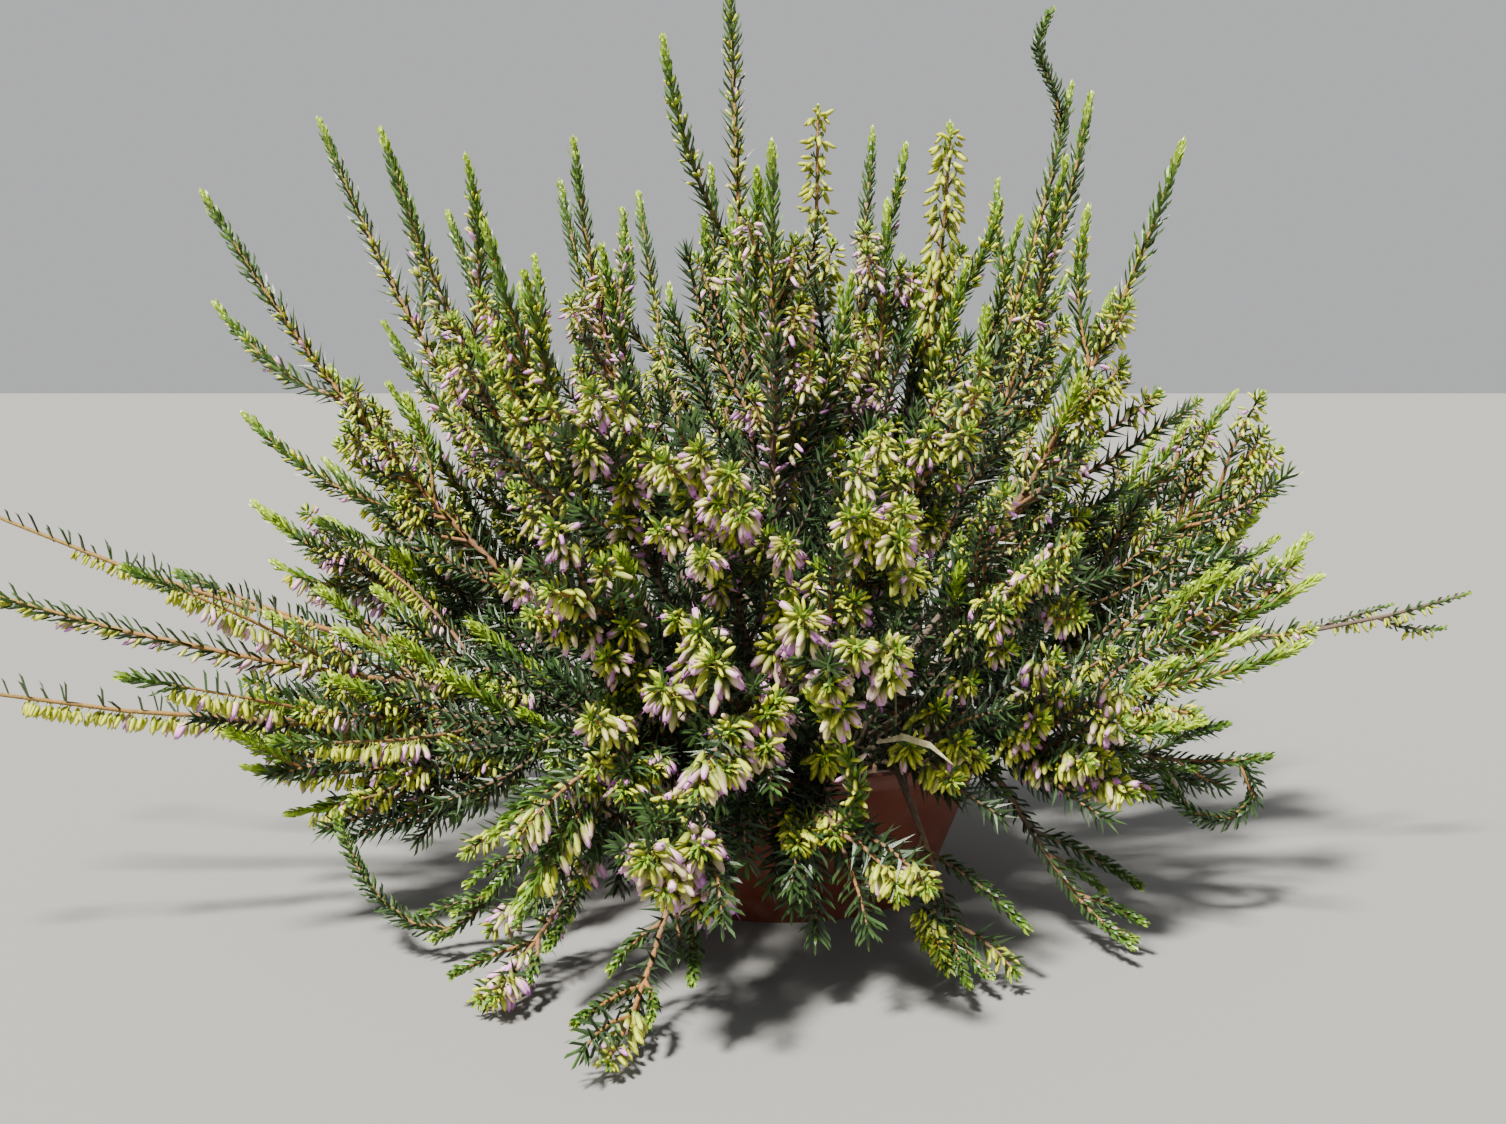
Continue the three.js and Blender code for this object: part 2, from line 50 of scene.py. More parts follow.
RIM_RADIUS = pot_high.x
BASE_RADIUS = 0.051
POT_WALL = 0.0018
POT_FLOOR = 0.0026
LIP_DEPTH = 0.0046
LIP_REACH = 0.0026
LIP_DRAFT = 0.0004
RIM_DRAFT = 0.0002
OUTER_STEP = 0.0006
INNER_STEP = 0.0008
FOOT_RECESS = 0.0012
STANDING_RING_WIDTH = 0.009
CENTRE_PAD_RADIUS = 0.012
DRAIN_RADIUS = 0.0035
DRAIN_CIRCLE_RADIUS = 0.027
DRAIN_HOLES = 6
DRAIN_STEPS = 24
POT_STEPS = 96
EDGE_BEVEL = 0.0005
SHARP_EDGE = math.radians(35)
SAME_SPOT = 1e-6
DUST_TOP = 0.03
DUST_LOW_AND_HIGH_UP = (0.7, 0.15)
CLEAN_AND_DUSTY_ROUGHNESS = (0.48, 0.75)
POT_COLOUR = (0.200, 0.052, 0.028, 1)
POT_DARK = (0.130, 0.028, 0.016, 1)
DUST_COLOUR = (0.300, 0.190, 0.130, 1)


def start_clean():
    bpy.ops.object.select_all(action="DESELECT")


def choose(piece, *others):
    """Selects a piece, with any others, and makes it the active one."""
    start_clean()
    for chosen in (piece, *others):
        chosen.select_set(True)
    bpy.context.view_layer.objects.active = piece


def edit(piece):
    choose(piece)
    bpy.ops.object.mode_set(mode="EDIT")


def leave_edit():
    bpy.ops.object.mode_set(mode="OBJECT")


def finish_modifier(piece, kind, **settings):
    """Adds a modifier with its settings and applies it."""
    choose(piece)
    modifier = piece.modifiers.new(kind.lower(), kind)
    for name, value in settings.items():
        setattr(modifier, name, value)
    bpy.ops.object.modifier_apply(modifier=modifier.name)


def turn_outline(name, outline, steps):
    """Draws half an outline point by point, radius and height, and spins it round the upright axis."""
    start_clean()
    bpy.ops.mesh.primitive_plane_add(size=0.001)
    piece = bpy.context.object
    piece.name = name
    bpy.ops.object.mode_set(mode="EDIT")
    bpy.ops.mesh.merge(type="CENTER")
    bpy.ops.transform.translate(value=(outline[0][0], 0, outline[0][1]))
    for (radius, height), (next_radius, next_height) in zip(outline, outline[1:]):
        step = (next_radius - radius, 0, next_height - height)
        bpy.ops.mesh.extrude_region_move(TRANSFORM_OT_translate={"value": step})
    bpy.ops.mesh.select_all(action="SELECT")
    bpy.ops.mesh.spin(steps=steps, angle=math.tau, center=(0, 0, 0), axis=(0, 0, 1))
    bpy.ops.mesh.select_all(action="SELECT")
    bpy.ops.mesh.remove_doubles(threshold=SAME_SPOT)
    bpy.ops.mesh.normals_make_consistent(inside=False)
    leave_edit()
    return piece


def place_node(tree, kind, inputs=None, **settings):
    """Adds a shader node, and links or sets each of its named or numbered inputs."""
    node = tree.nodes.new(kind)
    for name, value in settings.items():
        setattr(node, name, value)
    for name, value in (inputs or {}).items():
        if isinstance(value, bpy.types.NodeSocket):
            tree.links.new(value, node.inputs[name])
        else:
            node.inputs[name].default_value = value
    return node


def blend_colours(tree, share, first, second, way="MIX"):
    """Mixes two colours by a share; for a colour mix, socket 0 is the share, 6 and 7 the colours."""
    node = place_node(tree, "ShaderNodeMix", {0: share, 6: first, 7: second},
                      data_type="RGBA", blend_type=way)
    return node.outputs[2]


def remap(tree, value, low, high, start=0.0, end=1.0):
    """Stretches a value that runs from start to end so that it runs from low to high."""
    inputs = {"Value": value, "From Min": start, "From Max": end, "To Min": low, "To Max": high}
    return place_node(tree, "ShaderNodeMapRange", inputs).outputs["Result"]


def calculate(tree, way, first, second, **settings):
    return place_node(tree, "ShaderNodeMath", {0: first, 1: second}, operation=way, **settings).outputs[0]


def object_place(tree):
    return place_node(tree, "ShaderNodeTexCoord").outputs["Object"]


def new_finish(name, roughness):
    """A material whose shader is ready to take a colour, a roughness and a normal."""
    finish = bpy.data.materials.new(name)
    finish.use_nodes = True
    shader = finish.node_tree.nodes["Principled BSDF"]
    shader.inputs["Roughness"].default_value = roughness
    return finish, finish.node_tree, shader


def make_mottle():
    """A node group that gives uneven patches, between Low and High, and a fine bumpy normal."""
    group = bpy.data.node_groups.new("mottle", "ShaderNodeTree")
    add = group.interface.new_socket
    for label, value in (("Scale", 100.0), ("Low", 0.0), ("High", 1.0), ("Bump Scale", 800.0), ("Bump", 0.1)):
        add(label, in_out="INPUT", socket_type="NodeSocketFloat").default_value = value
    add("Patches", in_out="OUTPUT", socket_type="NodeSocketFloat")
    add("Normal", in_out="OUTPUT", socket_type="NodeSocketVector")
    given = group.nodes.new("NodeGroupInput").outputs
    result = group.nodes.new("NodeGroupOutput").inputs
    place = object_place(group)
    patches = place_node(group, "ShaderNodeTexNoise", {"Vector": place, "Scale": given["Scale"],
                                                       "Detail": 5.0, "Roughness": 0.6})
    fine = place_node(group, "ShaderNodeTexNoise", {"Vector": place, "Scale": given["Bump Scale"],
                                                    "Detail": 3.0})
    bump = place_node(group, "ShaderNodeBump", {"Height": fine.outputs["Fac"], "Strength": given["Bump"],
                                                "Distance": 0.0004})
    spread = remap(group, patches.outputs["Fac"], given["Low"], given["High"], 0.3, 0.7)
    group.links.new(spread, result["Patches"])
    group.links.new(bump.outputs["Normal"], result["Normal"])
    return group


mottle_group = make_mottle()


def mottle(tree, scale, low=0.0, high=1.0, bump_scale=800.0, bump=0.1):
    """Places the group of patches and bumps with its own values."""
    inputs = {"Scale": scale, "Low": low, "High": high, "Bump Scale": bump_scale, "Bump": bump}
    return place_node(tree, "ShaderNodeGroup", inputs, node_tree=mottle_group)


ring_inner = BASE_RADIUS - STANDING_RING_WIDTH
wall_top = RIM_RADIUS - LIP_REACH
inner_top = wall_top - POT_WALL - INNER_STEP
inner_bottom = BASE_RADIUS - POT_WALL
lip_foot = POT_HEIGHT - LIP_DEPTH
pot = turn_outline("pot_shell", [
    (0, 0),
    (CENTRE_PAD_RADIUS, 0),
    (CENTRE_PAD_RADIUS + FOOT_RECESS, FOOT_RECESS),
    (ring_inner - FOOT_RECESS, FOOT_RECESS),
    (ring_inner, 0),
    (BASE_RADIUS, 0),
    (wall_top - OUTER_STEP, lip_foot),
    (RIM_RADIUS - LIP_DRAFT, lip_foot),
    (RIM_RADIUS, POT_HEIGHT - LIP_DEPTH / 2),
    (RIM_RADIUS - RIM_DRAFT, POT_HEIGHT),
    (wall_top - POT_WALL, POT_HEIGHT),
    (inner_top, lip_foot),
    (inner_bottom, POT_FLOOR),
    (0, POT_FLOOR),
], POT_STEPS)
for hole in range(DRAIN_HOLES):
    turn = math.tau * (hole + 0.5) / DRAIN_HOLES
    place = (DRAIN_CIRCLE_RADIUS * math.cos(turn), DRAIN_CIRCLE_RADIUS * math.sin(turn), POT_FLOOR / 2)
    start_clean()
    bpy.ops.mesh.primitive_cylinder_add(vertices=DRAIN_STEPS, radius=DRAIN_RADIUS, depth=3 * POT_FLOOR,
                                        location=place)
    drill = bpy.context.object
    finish_modifier(pot, "BOOLEAN", operation="DIFFERENCE", solver="EXACT", object=drill)
    bpy.data.objects.remove(drill)
finish_modifier(pot, "BEVEL", width=EDGE_BEVEL, segments=2, limit_method="ANGLE", angle_limit=SHARP_EDGE)
choose(pot)
bpy.ops.object.shade_smooth_by_angle(angle=SHARP_EDGE)

pot_finish, tree, shader = new_finish("pot_plastic", 0.55)
patches = mottle(tree, 38.0, bump_scale=1900.0, bump=0.25)
dust = mottle(tree, 120.0, -0.5, 0.7).outputs["Patches"]
height = place_node(tree, "ShaderNodeSeparateXYZ", {"Vector": object_place(tree)}).outputs["Z"]
low_down = remap(tree, height, *DUST_LOW_AND_HIGH_UP, end=DUST_TOP)
colour = blend_colours(tree, patches.outputs["Patches"], POT_COLOUR, POT_DARK)
colour = blend_colours(tree, calculate(tree, "MULTIPLY", dust, low_down, use_clamp=True), colour, DUST_COLOUR)
tree.links.new(colour, shader.inputs["Base Color"])
tree.links.new(remap(tree, dust, *CLEAN_AND_DUSTY_ROUGHNESS), shader.inputs["Roughness"])
tree.links.new(patches.outputs["Normal"], shader.inputs["Normal"])
pot.data.materials.append(pot_finish)
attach(pot, "root")
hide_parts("pot")


# The compost. A root ball of dark peat and fine bark that fills the pot to just under its lip, with
# a lumpy crust, crumbs, chips of bark and a few white grains of perlite loose on top.
COMPOST_TOP = 0.045
COMPOST_STEPS = 84
FIT_GAP = 0.00035
CRUST_FIT_GAP = 0.00055
CRUST_SHOULDER = 0.002
CRUST_DEPTH = 0.001
CRUST_STEPS = 20
CRUST_CROWDING = 0.9
CRUST_LUMPS = ((0.0026, 0.006), (0.0012, 0.0022))
CRUMBS = 560
CHIPS = 110
PERLITE_GRAINS = 46
CRUMB_SIZES = (0.0006, 0.0019)
CRUMB_WIDTH = 0.9
CRUMB_REACH = 0.97
CRUMB_ROUGHNESS = 0.22
CRUMB_LIFT = 0.3
CRUMB_TILT = (1, 1, 0.35)
CRUMB_SHRINKS = (0.5, 1)
CRUMBS_FALL_FROM = 0.06
CRUMB_SEED = 11
CHIP_GROWTH = 1.15
CHIP_STRETCH = 2.6
PEAT_COLOUR = (0.020, 0.012, 0.008, 1)
PEAT_LIGHT = (0.075, 0.044, 0.026, 1)
BARK_CHIP_COLOUR = (0.150, 0.080, 0.042, 1)
PERLITE_COLOUR = (0.620, 0.590, 0.520, 1)

crust_edge = inner_bottom + (inner_top - inner_bottom) * (COMPOST_TOP - POT_FLOOR) / lip_foot
crust_edge -= CRUST_FIT_GAP
outline = [(0, POT_FLOOR + FIT_GAP), (inner_bottom - FIT_GAP, POT_FLOOR + FIT_GAP)]
outline += [(crust_edge, COMPOST_TOP - CRUST_SHOULDER)]
crust_radii = [crust_edge * (1 - step / CRUST_STEPS) ** CRUST_CROWDING for step in range(1, CRUST_STEPS)]
outline += [(radius, COMPOST_TOP) for radius in crust_radii]
compost = turn_outline("compost_ball", outline + [(0, COMPOST_TOP)], COMPOST_STEPS)
crust = compost.vertex_groups.new(name="crust")
crust.add([v.index for v in compost.data.vertices if v.co.z > COMPOST_TOP - CRUST_DEPTH], 1.0, "REPLACE")
for depth, spread in CRUST_LUMPS:
    lumps = bpy.data.textures.new("crust_lumps", "CLOUDS")
    lumps.noise_scale = spread
    finish_modifier(compost, "DISPLACE", texture=lumps, strength=depth, mid_level=0.5, direction="Z",
                    vertex_group="crust", texture_coords="LOCAL")


def pattern_of(piece, slots):
    """Reads a finished small piece as arrays, to be copied many times, and removes it."""
    mesh = piece.data
    mesh.calc_loop_triangles()
    spots = np.empty(3 * len(mesh.vertices))
    mesh.vertices.foreach_get("co", spots)
    corners = np.empty(3 * len(mesh.loop_triangles), np.int32)
    mesh.loop_triangles.foreach_get("vertices", corners)
    chosen = np.empty(len(mesh.loop_triangles), np.int32)
    mesh.loop_triangles.foreach_get("material_index", chosen)
    named = [slots.index(slot.name) for slot in mesh.materials] or [0]
    pattern = (spots.reshape(-1, 3), corners.reshape(-1, 3), np.array(named)[chosen])
    bpy.data.objects.remove(piece)
    return pattern


def copy_pattern(pattern, roots, sides, tops, ways, widths, lengths):
    """Copies a pattern to each root: its x lies along sides, its y along tops and its z along ways."""
    spots, corners, slots = pattern
    across = spots[None, :, 0, None] * widths[:, None, None] * sides[:, None, :]
    over = spots[None, :, 1, None] * widths[:, None, None] * tops[:, None, :]
    along = spots[None, :, 2, None] * lengths[:, None, None] * ways[:, None, :]
    placed = roots[:, None, :] + across + over + along
    first = len(spots) * np.arange(len(roots))
    return placed, (corners[None] + first[:, None, None]).reshape(-1, 3), np.tile(slots, len(roots))


def unit(v):
    return v / np.linalg.norm(v, axis=-1, keepdims=True)


def mesh_of(name, parts, finishes, smooth_slots):
    """One mesh from parts, each with its copies' places, triangles, material numbers and tones."""
    mesh = bpy.data.meshes.new(name)
    starts = np.cumsum([0] + [part[0].size // 3 for part in parts])
    spots = np.concatenate([part[0].reshape(-1, 3) for part in parts])
    corners = np.concatenate([part[1] + start for part, start in zip(parts, starts)])
    slots = np.concatenate([part[2] for part in parts])
    tones = np.concatenate([part[3].reshape(-1, 4) for part in parts])
    mesh.vertices.add(len(spots))
    mesh.vertices.foreach_set("co", spots.ravel())
    mesh.loops.add(corners.size)
    mesh.loops.foreach_set("vertex_index", corners.ravel())
    mesh.polygons.add(len(corners))
    mesh.polygons.foreach_set("loop_start", 3 * np.arange(len(corners)))
    mesh.polygons.foreach_set("material_index", slots)
    for finish in finishes:
        mesh.materials.append(finish)
    mesh.update(calc_edges=True)
    mesh.polygons.foreach_set("use_smooth", np.isin(slots, smooth_slots))
    tone = mesh.attributes.new("tone", "FLOAT_COLOR", "POINT")
    tone.data.foreach_set("color", tones.ravel())
    piece = bpy.data.objects.new(name, mesh)
    bpy.context.scene.collection.objects.link(piece)
    return piece


def join_pieces(whole, others):
    choose(whole, *others)
    bpy.ops.object.join()
    return whole


def connect(tree, shader, colour, surface, rough=False):
    """Joins a colour and the fine bumps, and where asked the patches as roughness, to a shader."""
    tree.links.new(colour, shader.inputs["Base Color"])
    tree.links.new(surface.outputs["Normal"], shader.inputs["Normal"])
    if rough:
        tree.links.new(surface.outputs["Patches"], shader.inputs["Roughness"])


def two_tone(name, first, second, roughness, scale, bump_scale, bump, most=1.0):
    """A finish of one colour with patches of another, and fine bumps."""
    finish, tree, shader = new_finish(name, roughness)
    patches = mottle(tree, scale, 0.0, most, bump_scale, bump)
    connect(tree, shader, blend_colours(tree, patches.outputs["Patches"], first, second), patches)
    return finish


peat_finish = two_tone("peat", PEAT_COLOUR, PEAT_LIGHT, 0.95, 260.0, 1400.0, 0.9)
chip_finish = two_tone("bark_chip", PEAT_LIGHT, BARK_CHIP_COLOUR, 0.85, 420.0, 1600.0, 0.6)
perlite_finish = two_tone("perlite", PERLITE_COLOUR, BARK_CHIP_COLOUR, 0.9, 900.0, 2500.0, 0.8, most=0.6)

start_clean()
bpy.ops.mesh.primitive_ico_sphere_add(subdivisions=1, radius=1)
crumb = bpy.context.object
edit(crumb)
bpy.ops.transform.vertex_random(offset=CRUMB_ROUGHNESS, seed=4)
leave_edit()
crumb_pattern = pattern_of(crumb, ["peat"])
random = np.random.default_rng(CRUMB_SEED)
numbers = [CRUMBS, CHIPS, PERLITE_GRAINS]
count = sum(numbers)
radii = crust_edge * CRUMB_REACH * np.sqrt(random.random(count))
turns = math.tau * random.random(count)
across = np.stack([radii * np.cos(turns), radii * np.sin(turns)], 1)
down = Vector((0, 0, -1))
level = np.array([compost.ray_cast(Vector((x, y, CRUMBS_FALL_FROM)), down)[1].z for x, y in across])
sizes = random.uniform(*CRUMB_SIZES, count) * random.uniform(*CRUMB_SHRINKS, count)
sizes[CRUMBS:] *= CHIP_GROWTH
roots = np.column_stack([across, level + CRUMB_LIFT * sizes])
ways = unit(random.normal(size=(count, 3)) * CRUMB_TILT)
sides = unit(np.cross(ways, random.normal(size=(count, 3))))
stretch = np.repeat([1.0, CHIP_STRETCH, 1.0], numbers)
placed, corners, slots = copy_pattern(crumb_pattern, roots, sides, np.cross(ways, sides), ways,
                                      sizes * CRUMB_WIDTH, sizes * stretch)
kinds = np.repeat(np.repeat([0, 1, 2], numbers), len(slots) // count)
crumbs = mesh_of("crumbs", [(placed, corners, kinds, np.ones((*placed.shape[:2], 4)))],
                 [peat_finish, chip_finish, perlite_finish], [])
compost.data.materials.append(peat_finish)
join_pieces(compost, [crumbs])
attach(compost, "root")
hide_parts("compost")


# The needle. One narrow leaf of the heath, 9 mm long and about 1 mm wide, straight-sided with a blunt
# tip, flat on the side that faces the stem and keeled on the other. It bends in a little. A plainer one
# stands in for it deep in the bush, where only its outline is seen.
NEEDLE_LENGTH = 0.009
NEEDLE_HALF_WIDTH = 0.00056
NEEDLE_FOOT = 0.001
NEEDLE_SHOULDER = 0.0070
NEEDLE_POINT = 0.0088
NEEDLE_BEND = 0.0004
SHOULDER_FULLNESS = (0.9, 0.7)
FOOT_FULLNESS = (0.75, 0.6, 1)
INNER_NEEDLE_HALF_WIDTH = 0.0007
NEEDLE_TINTS = (0.55, 1.4)
YOUNG_AT_TIP = 0.14
OLD_NEEDLE = (0.009, 0.020, 0.012, 1)
GROWN_NEEDLE = (0.025, 0.058, 0.015, 1)
YOUNG_NEEDLE = (0.080, 0.170, 0.014, 1)
FRESH_NEEDLE = (0.400, 0.560, 0.024, 1)


def pick(piece, low, high):
    """Opens a piece in edit mode with only those points selected that lie between two heights."""
    edit(piece)
    bpy.ops.mesh.select_mode(type="VERT")
    bpy.ops.mesh.select_all(action="DESELECT")
    leave_edit()
    for spot in piece.data.vertices:
        spot.select = low < spot.co.z < high
    bpy.ops.object.mode_set(mode="EDIT")


def shift(piece, step, low=-math.inf, high=math.inf):
    pick(piece, low, high)
    bpy.ops.transform.translate(value=step)
    leave_edit()


def widen(piece, scale, low=-math.inf, high=math.inf, about=(0, 0, 0)):
    pick(piece, low, high)
    bpy.ops.transform.resize(value=scale, center_override=about)
    leave_edit()


def add_cone(sides, radius, low, high):
    """A pointed piece along z, with its base at low and its point at high."""
    start_clean()
    bpy.ops.mesh.primitive_cone_add(vertices=sides, radius1=radius, depth=high - low,
                                    location=(0, 0, (low + high) / 2))
    bpy.ops.object.transform_apply(location=True)
    return bpy.context.object


needle = add_cone(3, NEEDLE_HALF_WIDTH, 0, NEEDLE_LENGTH)
edit(needle)
bpy.ops.mesh.select_all(action="SELECT")
bpy.ops.mesh.bisect(plane_co=(0, 0, NEEDLE_SHOULDER), plane_no=(0, 0, 1))
leave_edit()
opened = NEEDLE_LENGTH / (NEEDLE_LENGTH - NEEDLE_SHOULDER)
widen(needle, (opened * SHOULDER_FULLNESS[0], opened * SHOULDER_FULLNESS[1], 1), NEEDLE_FOOT, NEEDLE_POINT)
widen(needle, FOOT_FULLNESS, high=NEEDLE_FOOT)
shift(needle, (0, NEEDLE_BEND, 0), high=NEEDLE_FOOT)
shift(needle, (0, NEEDLE_BEND, 0), low=NEEDLE_POINT)
fine_needle = pattern_of(needle, [])
plain_needle = pattern_of(add_cone(3, INNER_NEEDLE_HALF_WIDTH, 0, NEEDLE_LENGTH), [])


def tone_of(tree):
    """The three numbers that each copy carries: freshness or ripeness, its own tint, and how far
    along the needle or bell a point is."""
    tone = place_node(tree, "ShaderNodeAttribute", attribute_name="tone").outputs["Color"]
    split = place_node(tree, "ShaderNodeSeparateColor", {"Color": tone})
    return split.outputs["Red"], split.outputs["Green"], split.outputs["Blue"]


def ramp(tree, share, *steps):
    """A colour ramp: steps are pairs of a place and a colour."""
    node = place_node(tree, "ShaderNodeValToRGB", {"Fac": share})
    stops = node.color_ramp.elements
    while len(stops) < len(steps):
        stops.new(0.5)
    for stop, (place, colour) in zip(stops, steps):
        stop.position = place
        stop.color = colour
    return node.outputs["Color"]


def tinted(tree, colour, tint, low, high):
    """A colour made darker or lighter by a copy's own tint."""
    level = remap(tree, tint, low, high)
    grey = place_node(tree, "ShaderNodeCombineColor", {"Red": level, "Green": level, "Blue": level})
    return blend_colours(tree, 1.0, colour, grey.outputs["Color"], "MULTIPLY")


needle_finish, tree, shader = new_finish("heath_needle", 0.4)
fresh, tint, along = tone_of(tree)
colour = ramp(tree, fresh, (0.0, OLD_NEEDLE), (0.3, GROWN_NEEDLE), (0.62, YOUNG_NEEDLE), (1.0, FRESH_NEEDLE))
colour = blend_colours(tree, remap(tree, along, 0.0, YOUNG_AT_TIP), colour, YOUNG_NEEDLE)
colour = tinted(tree, colour, tint, *NEEDLE_TINTS)
connect(tree, shader, colour, mottle(tree, 900.0, 0.28, 0.46, bump_scale=3000.0, bump=0.25), rough=True)


# The bud and the bell. Each flower hangs on a stalk of 3 mm: four pale yellow-green sepals close round
# it while it is a bud, and later stand off a lilac bell with a dark tuft of anthers at its mouth.
BELL_LENGTH = 0.0056
BELL_RADIUS = 0.00100
BELL_TAPER = 0.84
NEAR_TIP = 0.98
BELL_MOUTH_FROM = 0.8
BELL_MOUTH_FLARE = 1.15
BELL_MOUTH_DEPTH = 0.22
STALK_LENGTH = 0.0029
STALK_RADIUS = 0.00022
SEPAL_LENGTH = 0.0042
SEPAL_WIDTH = 0.0007
SEPAL_THINNESS = 0.3
SEPAL_LOW_END = 0.001
SEPAL_LIFT = 0.0002
SEPAL_OFFSETS = (0.55, 1.25)
TUFT_RADIUS = 0.28
TUFT_FROM_TO = (0.75, 1.22)
SEPAL_YELLOW = (0.480, 0.500, 0.008, 1)
SEPAL_GREEN = (0.110, 0.165, 0.018, 1)
SEPAL_PALE = (0.360, 0.410, 0.026, 1)
SEPAL_CREAM = (0.790, 0.800, 0.155, 1)
PETAL_PALE = (0.800, 0.480, 0.600, 1)
PETAL_LILAC = (0.560, 0.210, 0.540, 1)
PETAL_DEEP = (0.310, 0.080, 0.390, 1)
ANTHER_COLOUR = (0.120, 0.030, 0.060, 1)
STALK_COLOUR = (0.420, 0.400, 0.030, 1)

# A sepal is yellow while its flower is young, then green to cream, and blushes at its low end as it ripens.
sepal_finish, tree, shader = new_finish("heath_sepal", 0.42)
ripe, tint, along = tone_of(tree)
grown = ramp(tree, along, (0.1, SEPAL_GREEN), (0.55, SEPAL_PALE), (1.0, SEPAL_CREAM))
young = ramp(tree, along, (0.0, SEPAL_PALE), (1.0, SEPAL_YELLOW))
pink = ramp(tree, along, (0.5, PETAL_PALE), (0.9, PETAL_LILAC))
youth = remap(tree, ripe, 1.0, 0.0, end=0.25)
ripening = remap(tree, ripe, 0.0, 1.0, start=0.5)
blush = calculate(tree, "MULTIPLY", ripening, remap(tree, along, 0.0, 1.0, 0.3, 0.8))
colour = blend_colours(tree, blush, blend_colours(tree, youth, grown, young), pink)
colour = tinted(tree, colour, tint, 0.62, 1.2)
connect(tree, shader, colour, mottle(tree, 1500.0, 0.36, 0.54, bump_scale=4000.0, bump=0.25), rough=True)

petal_finish, tree, shader = new_finish("heath_petal", 0.48)
ripe, tint, along = tone_of(tree)
young = ramp(tree, along, (0.0, SEPAL_PALE), (0.45, PETAL_PALE), (1.0, PETAL_LILAC))
old = ramp(tree, along, (0.0, SEPAL_CREAM), (0.4, PETAL_LILAC), (1.0, PETAL_DEEP))
colour = tinted(tree, blend_colours(tree, ripe, young, old), tint, 0.8, 1.15)
connect(tree, shader, colour, mottle(tree, 1800.0, 0.4, 0.6, bump_scale=4000.0, bump=0.2), rough=True)

anther_finish = two_tone("heath_anther", ANTHER_COLOUR, PETAL_DEEP, 0.6, 2500.0, 5000.0, 0.3)
stalk_finish = two_tone("flower_stalk", STALK_COLOUR, SEPAL_GREEN, 0.5, 600.0, 3000.0, 0.3)
flower_slots = ["heath_needle", "heath_sepal", "heath_petal", "heath_anther", "flower_stalk"]


def add_stalk():
    """The flower's stalk, from inside its base to where its far end is to be tied to the stem."""
    stalk = add_cone(3, STALK_RADIUS, -STALK_LENGTH, BELL_RADIUS)
    stalk.data.materials.append(stalk_finish)
    return stalk


def add_body(sides, rings, finish):
    """The flower's body: fullest below its middle and drawn in to its tip."""
    start_clean()
    bpy.ops.mesh.primitive_uv_sphere_add(segments=sides, ring_count=rings, radius=BELL_RADIUS)
    body = bpy.context.object
    widen(body, (1, 1, BELL_LENGTH / 2 / BELL_RADIUS))
    widen(body, (BELL_TAPER, BELL_TAPER, 1), 0, NEAR_TIP * BELL_LENGTH / 2)
    shift(body, (0, 0, BELL_LENGTH / 2))
    body.data.materials.append(finish)
    return body


def stalked(sides, rings, finish):
    """A flower's body joined to its stalk, as a pattern."""
    return pattern_of(join_pieces(add_body(sides, rings, finish), [add_stalk()]), flower_slots)


bud = add_body(4, 3, sepal_finish)
shift(bud, (0, 0, -STALK_LENGTH), high=SAME_SPOT)
small_bud = pattern_of(bud, flower_slots)
middle_bud = stalked(5, 3, sepal_finish)
large_bud = stalked(6, 4, sepal_finish)
small_bell = stalked(5, 3, petal_finish)

corolla = add_body(6, 4, petal_finish)
mouth = BELL_MOUTH_FROM * BELL_LENGTH
shift(corolla, (0, 0, -BELL_MOUTH_DEPTH * BELL_LENGTH), low=NEAR_TIP * BELL_LENGTH)
widen(corolla, (BELL_MOUTH_FLARE, BELL_MOUTH_FLARE, 1), low=mouth, about=(0, 0, mouth))
parts = [add_stalk()]
for lobe in range(4):
    sepal = add_cone(4, SEPAL_WIDTH, 0, SEPAL_LENGTH)
    widen(sepal, (SEPAL_THINNESS, 1, 1))
    shift(sepal, (BELL_RADIUS * SEPAL_OFFSETS[0], 0, SEPAL_LIFT), high=SEPAL_LOW_END)
    shift(sepal, (BELL_RADIUS * SEPAL_OFFSETS[1], 0, 0), low=SEPAL_LOW_END)
    edit(sepal)
    bpy.ops.mesh.select_all(action="SELECT")
    bpy.ops.transform.rotate(value=lobe * math.pi / 2, orient_axis="Z", center_override=(0, 0, 0))
    leave_edit()
    sepal.data.materials.append(sepal_finish)
    parts.append(sepal)
tuft = add_cone(3, BELL_RADIUS * TUFT_RADIUS, TUFT_FROM_TO[0] * BELL_LENGTH, TUFT_FROM_TO[1] * BELL_LENGTH)
tuft.data.materials.append(anther_finish)
open_bell = pattern_of(join_pieces(corolla, parts + [tuft]), flower_slots)


# The stems. About sixty wiry stems stand in the compost, lowest ones furthest out, and each bends to
# its own tip: woody and grey-brown below, orange-brown in its second year, thin and green at its end.
FOOT_SPREAD = 0.050
FOOT_GAP = 0.007
FOOT_LIMIT = 0.054
SPACING_ROUNDS = 60
LOWEST_RISE = math.radians(-24)
STRAIGHT_NECK = 0.002
STEM_DEPTH = 0.012
LEAST_START_RISE = math.radians(34)
NEAR_RIM_START_RISE = math.radians(46)
NEAR_RIM_FOOT = 0.044
MOST_START_RISE = math.radians(88)
END_RISES = (math.radians(-60), math.radians(89))
TRAIL_START_RISE = math.radians(62)
TRAIL_START_HANDLE = 0.054
GOLDEN_ANGLE = math.radians(137.508)
GOLDEN_SHARE = 0.618
FIRST_SHARE = 0.37
SHOOT_LENGTHS = (0.026, 0.080)
SHOOT_LENGTH_SHARE = 0.6
SHOOT_LENGTH_SPREAD = 0.3
SHOOT_ANGLE = math.radians(44)
SHOOT_END_SPREAD = 0.22
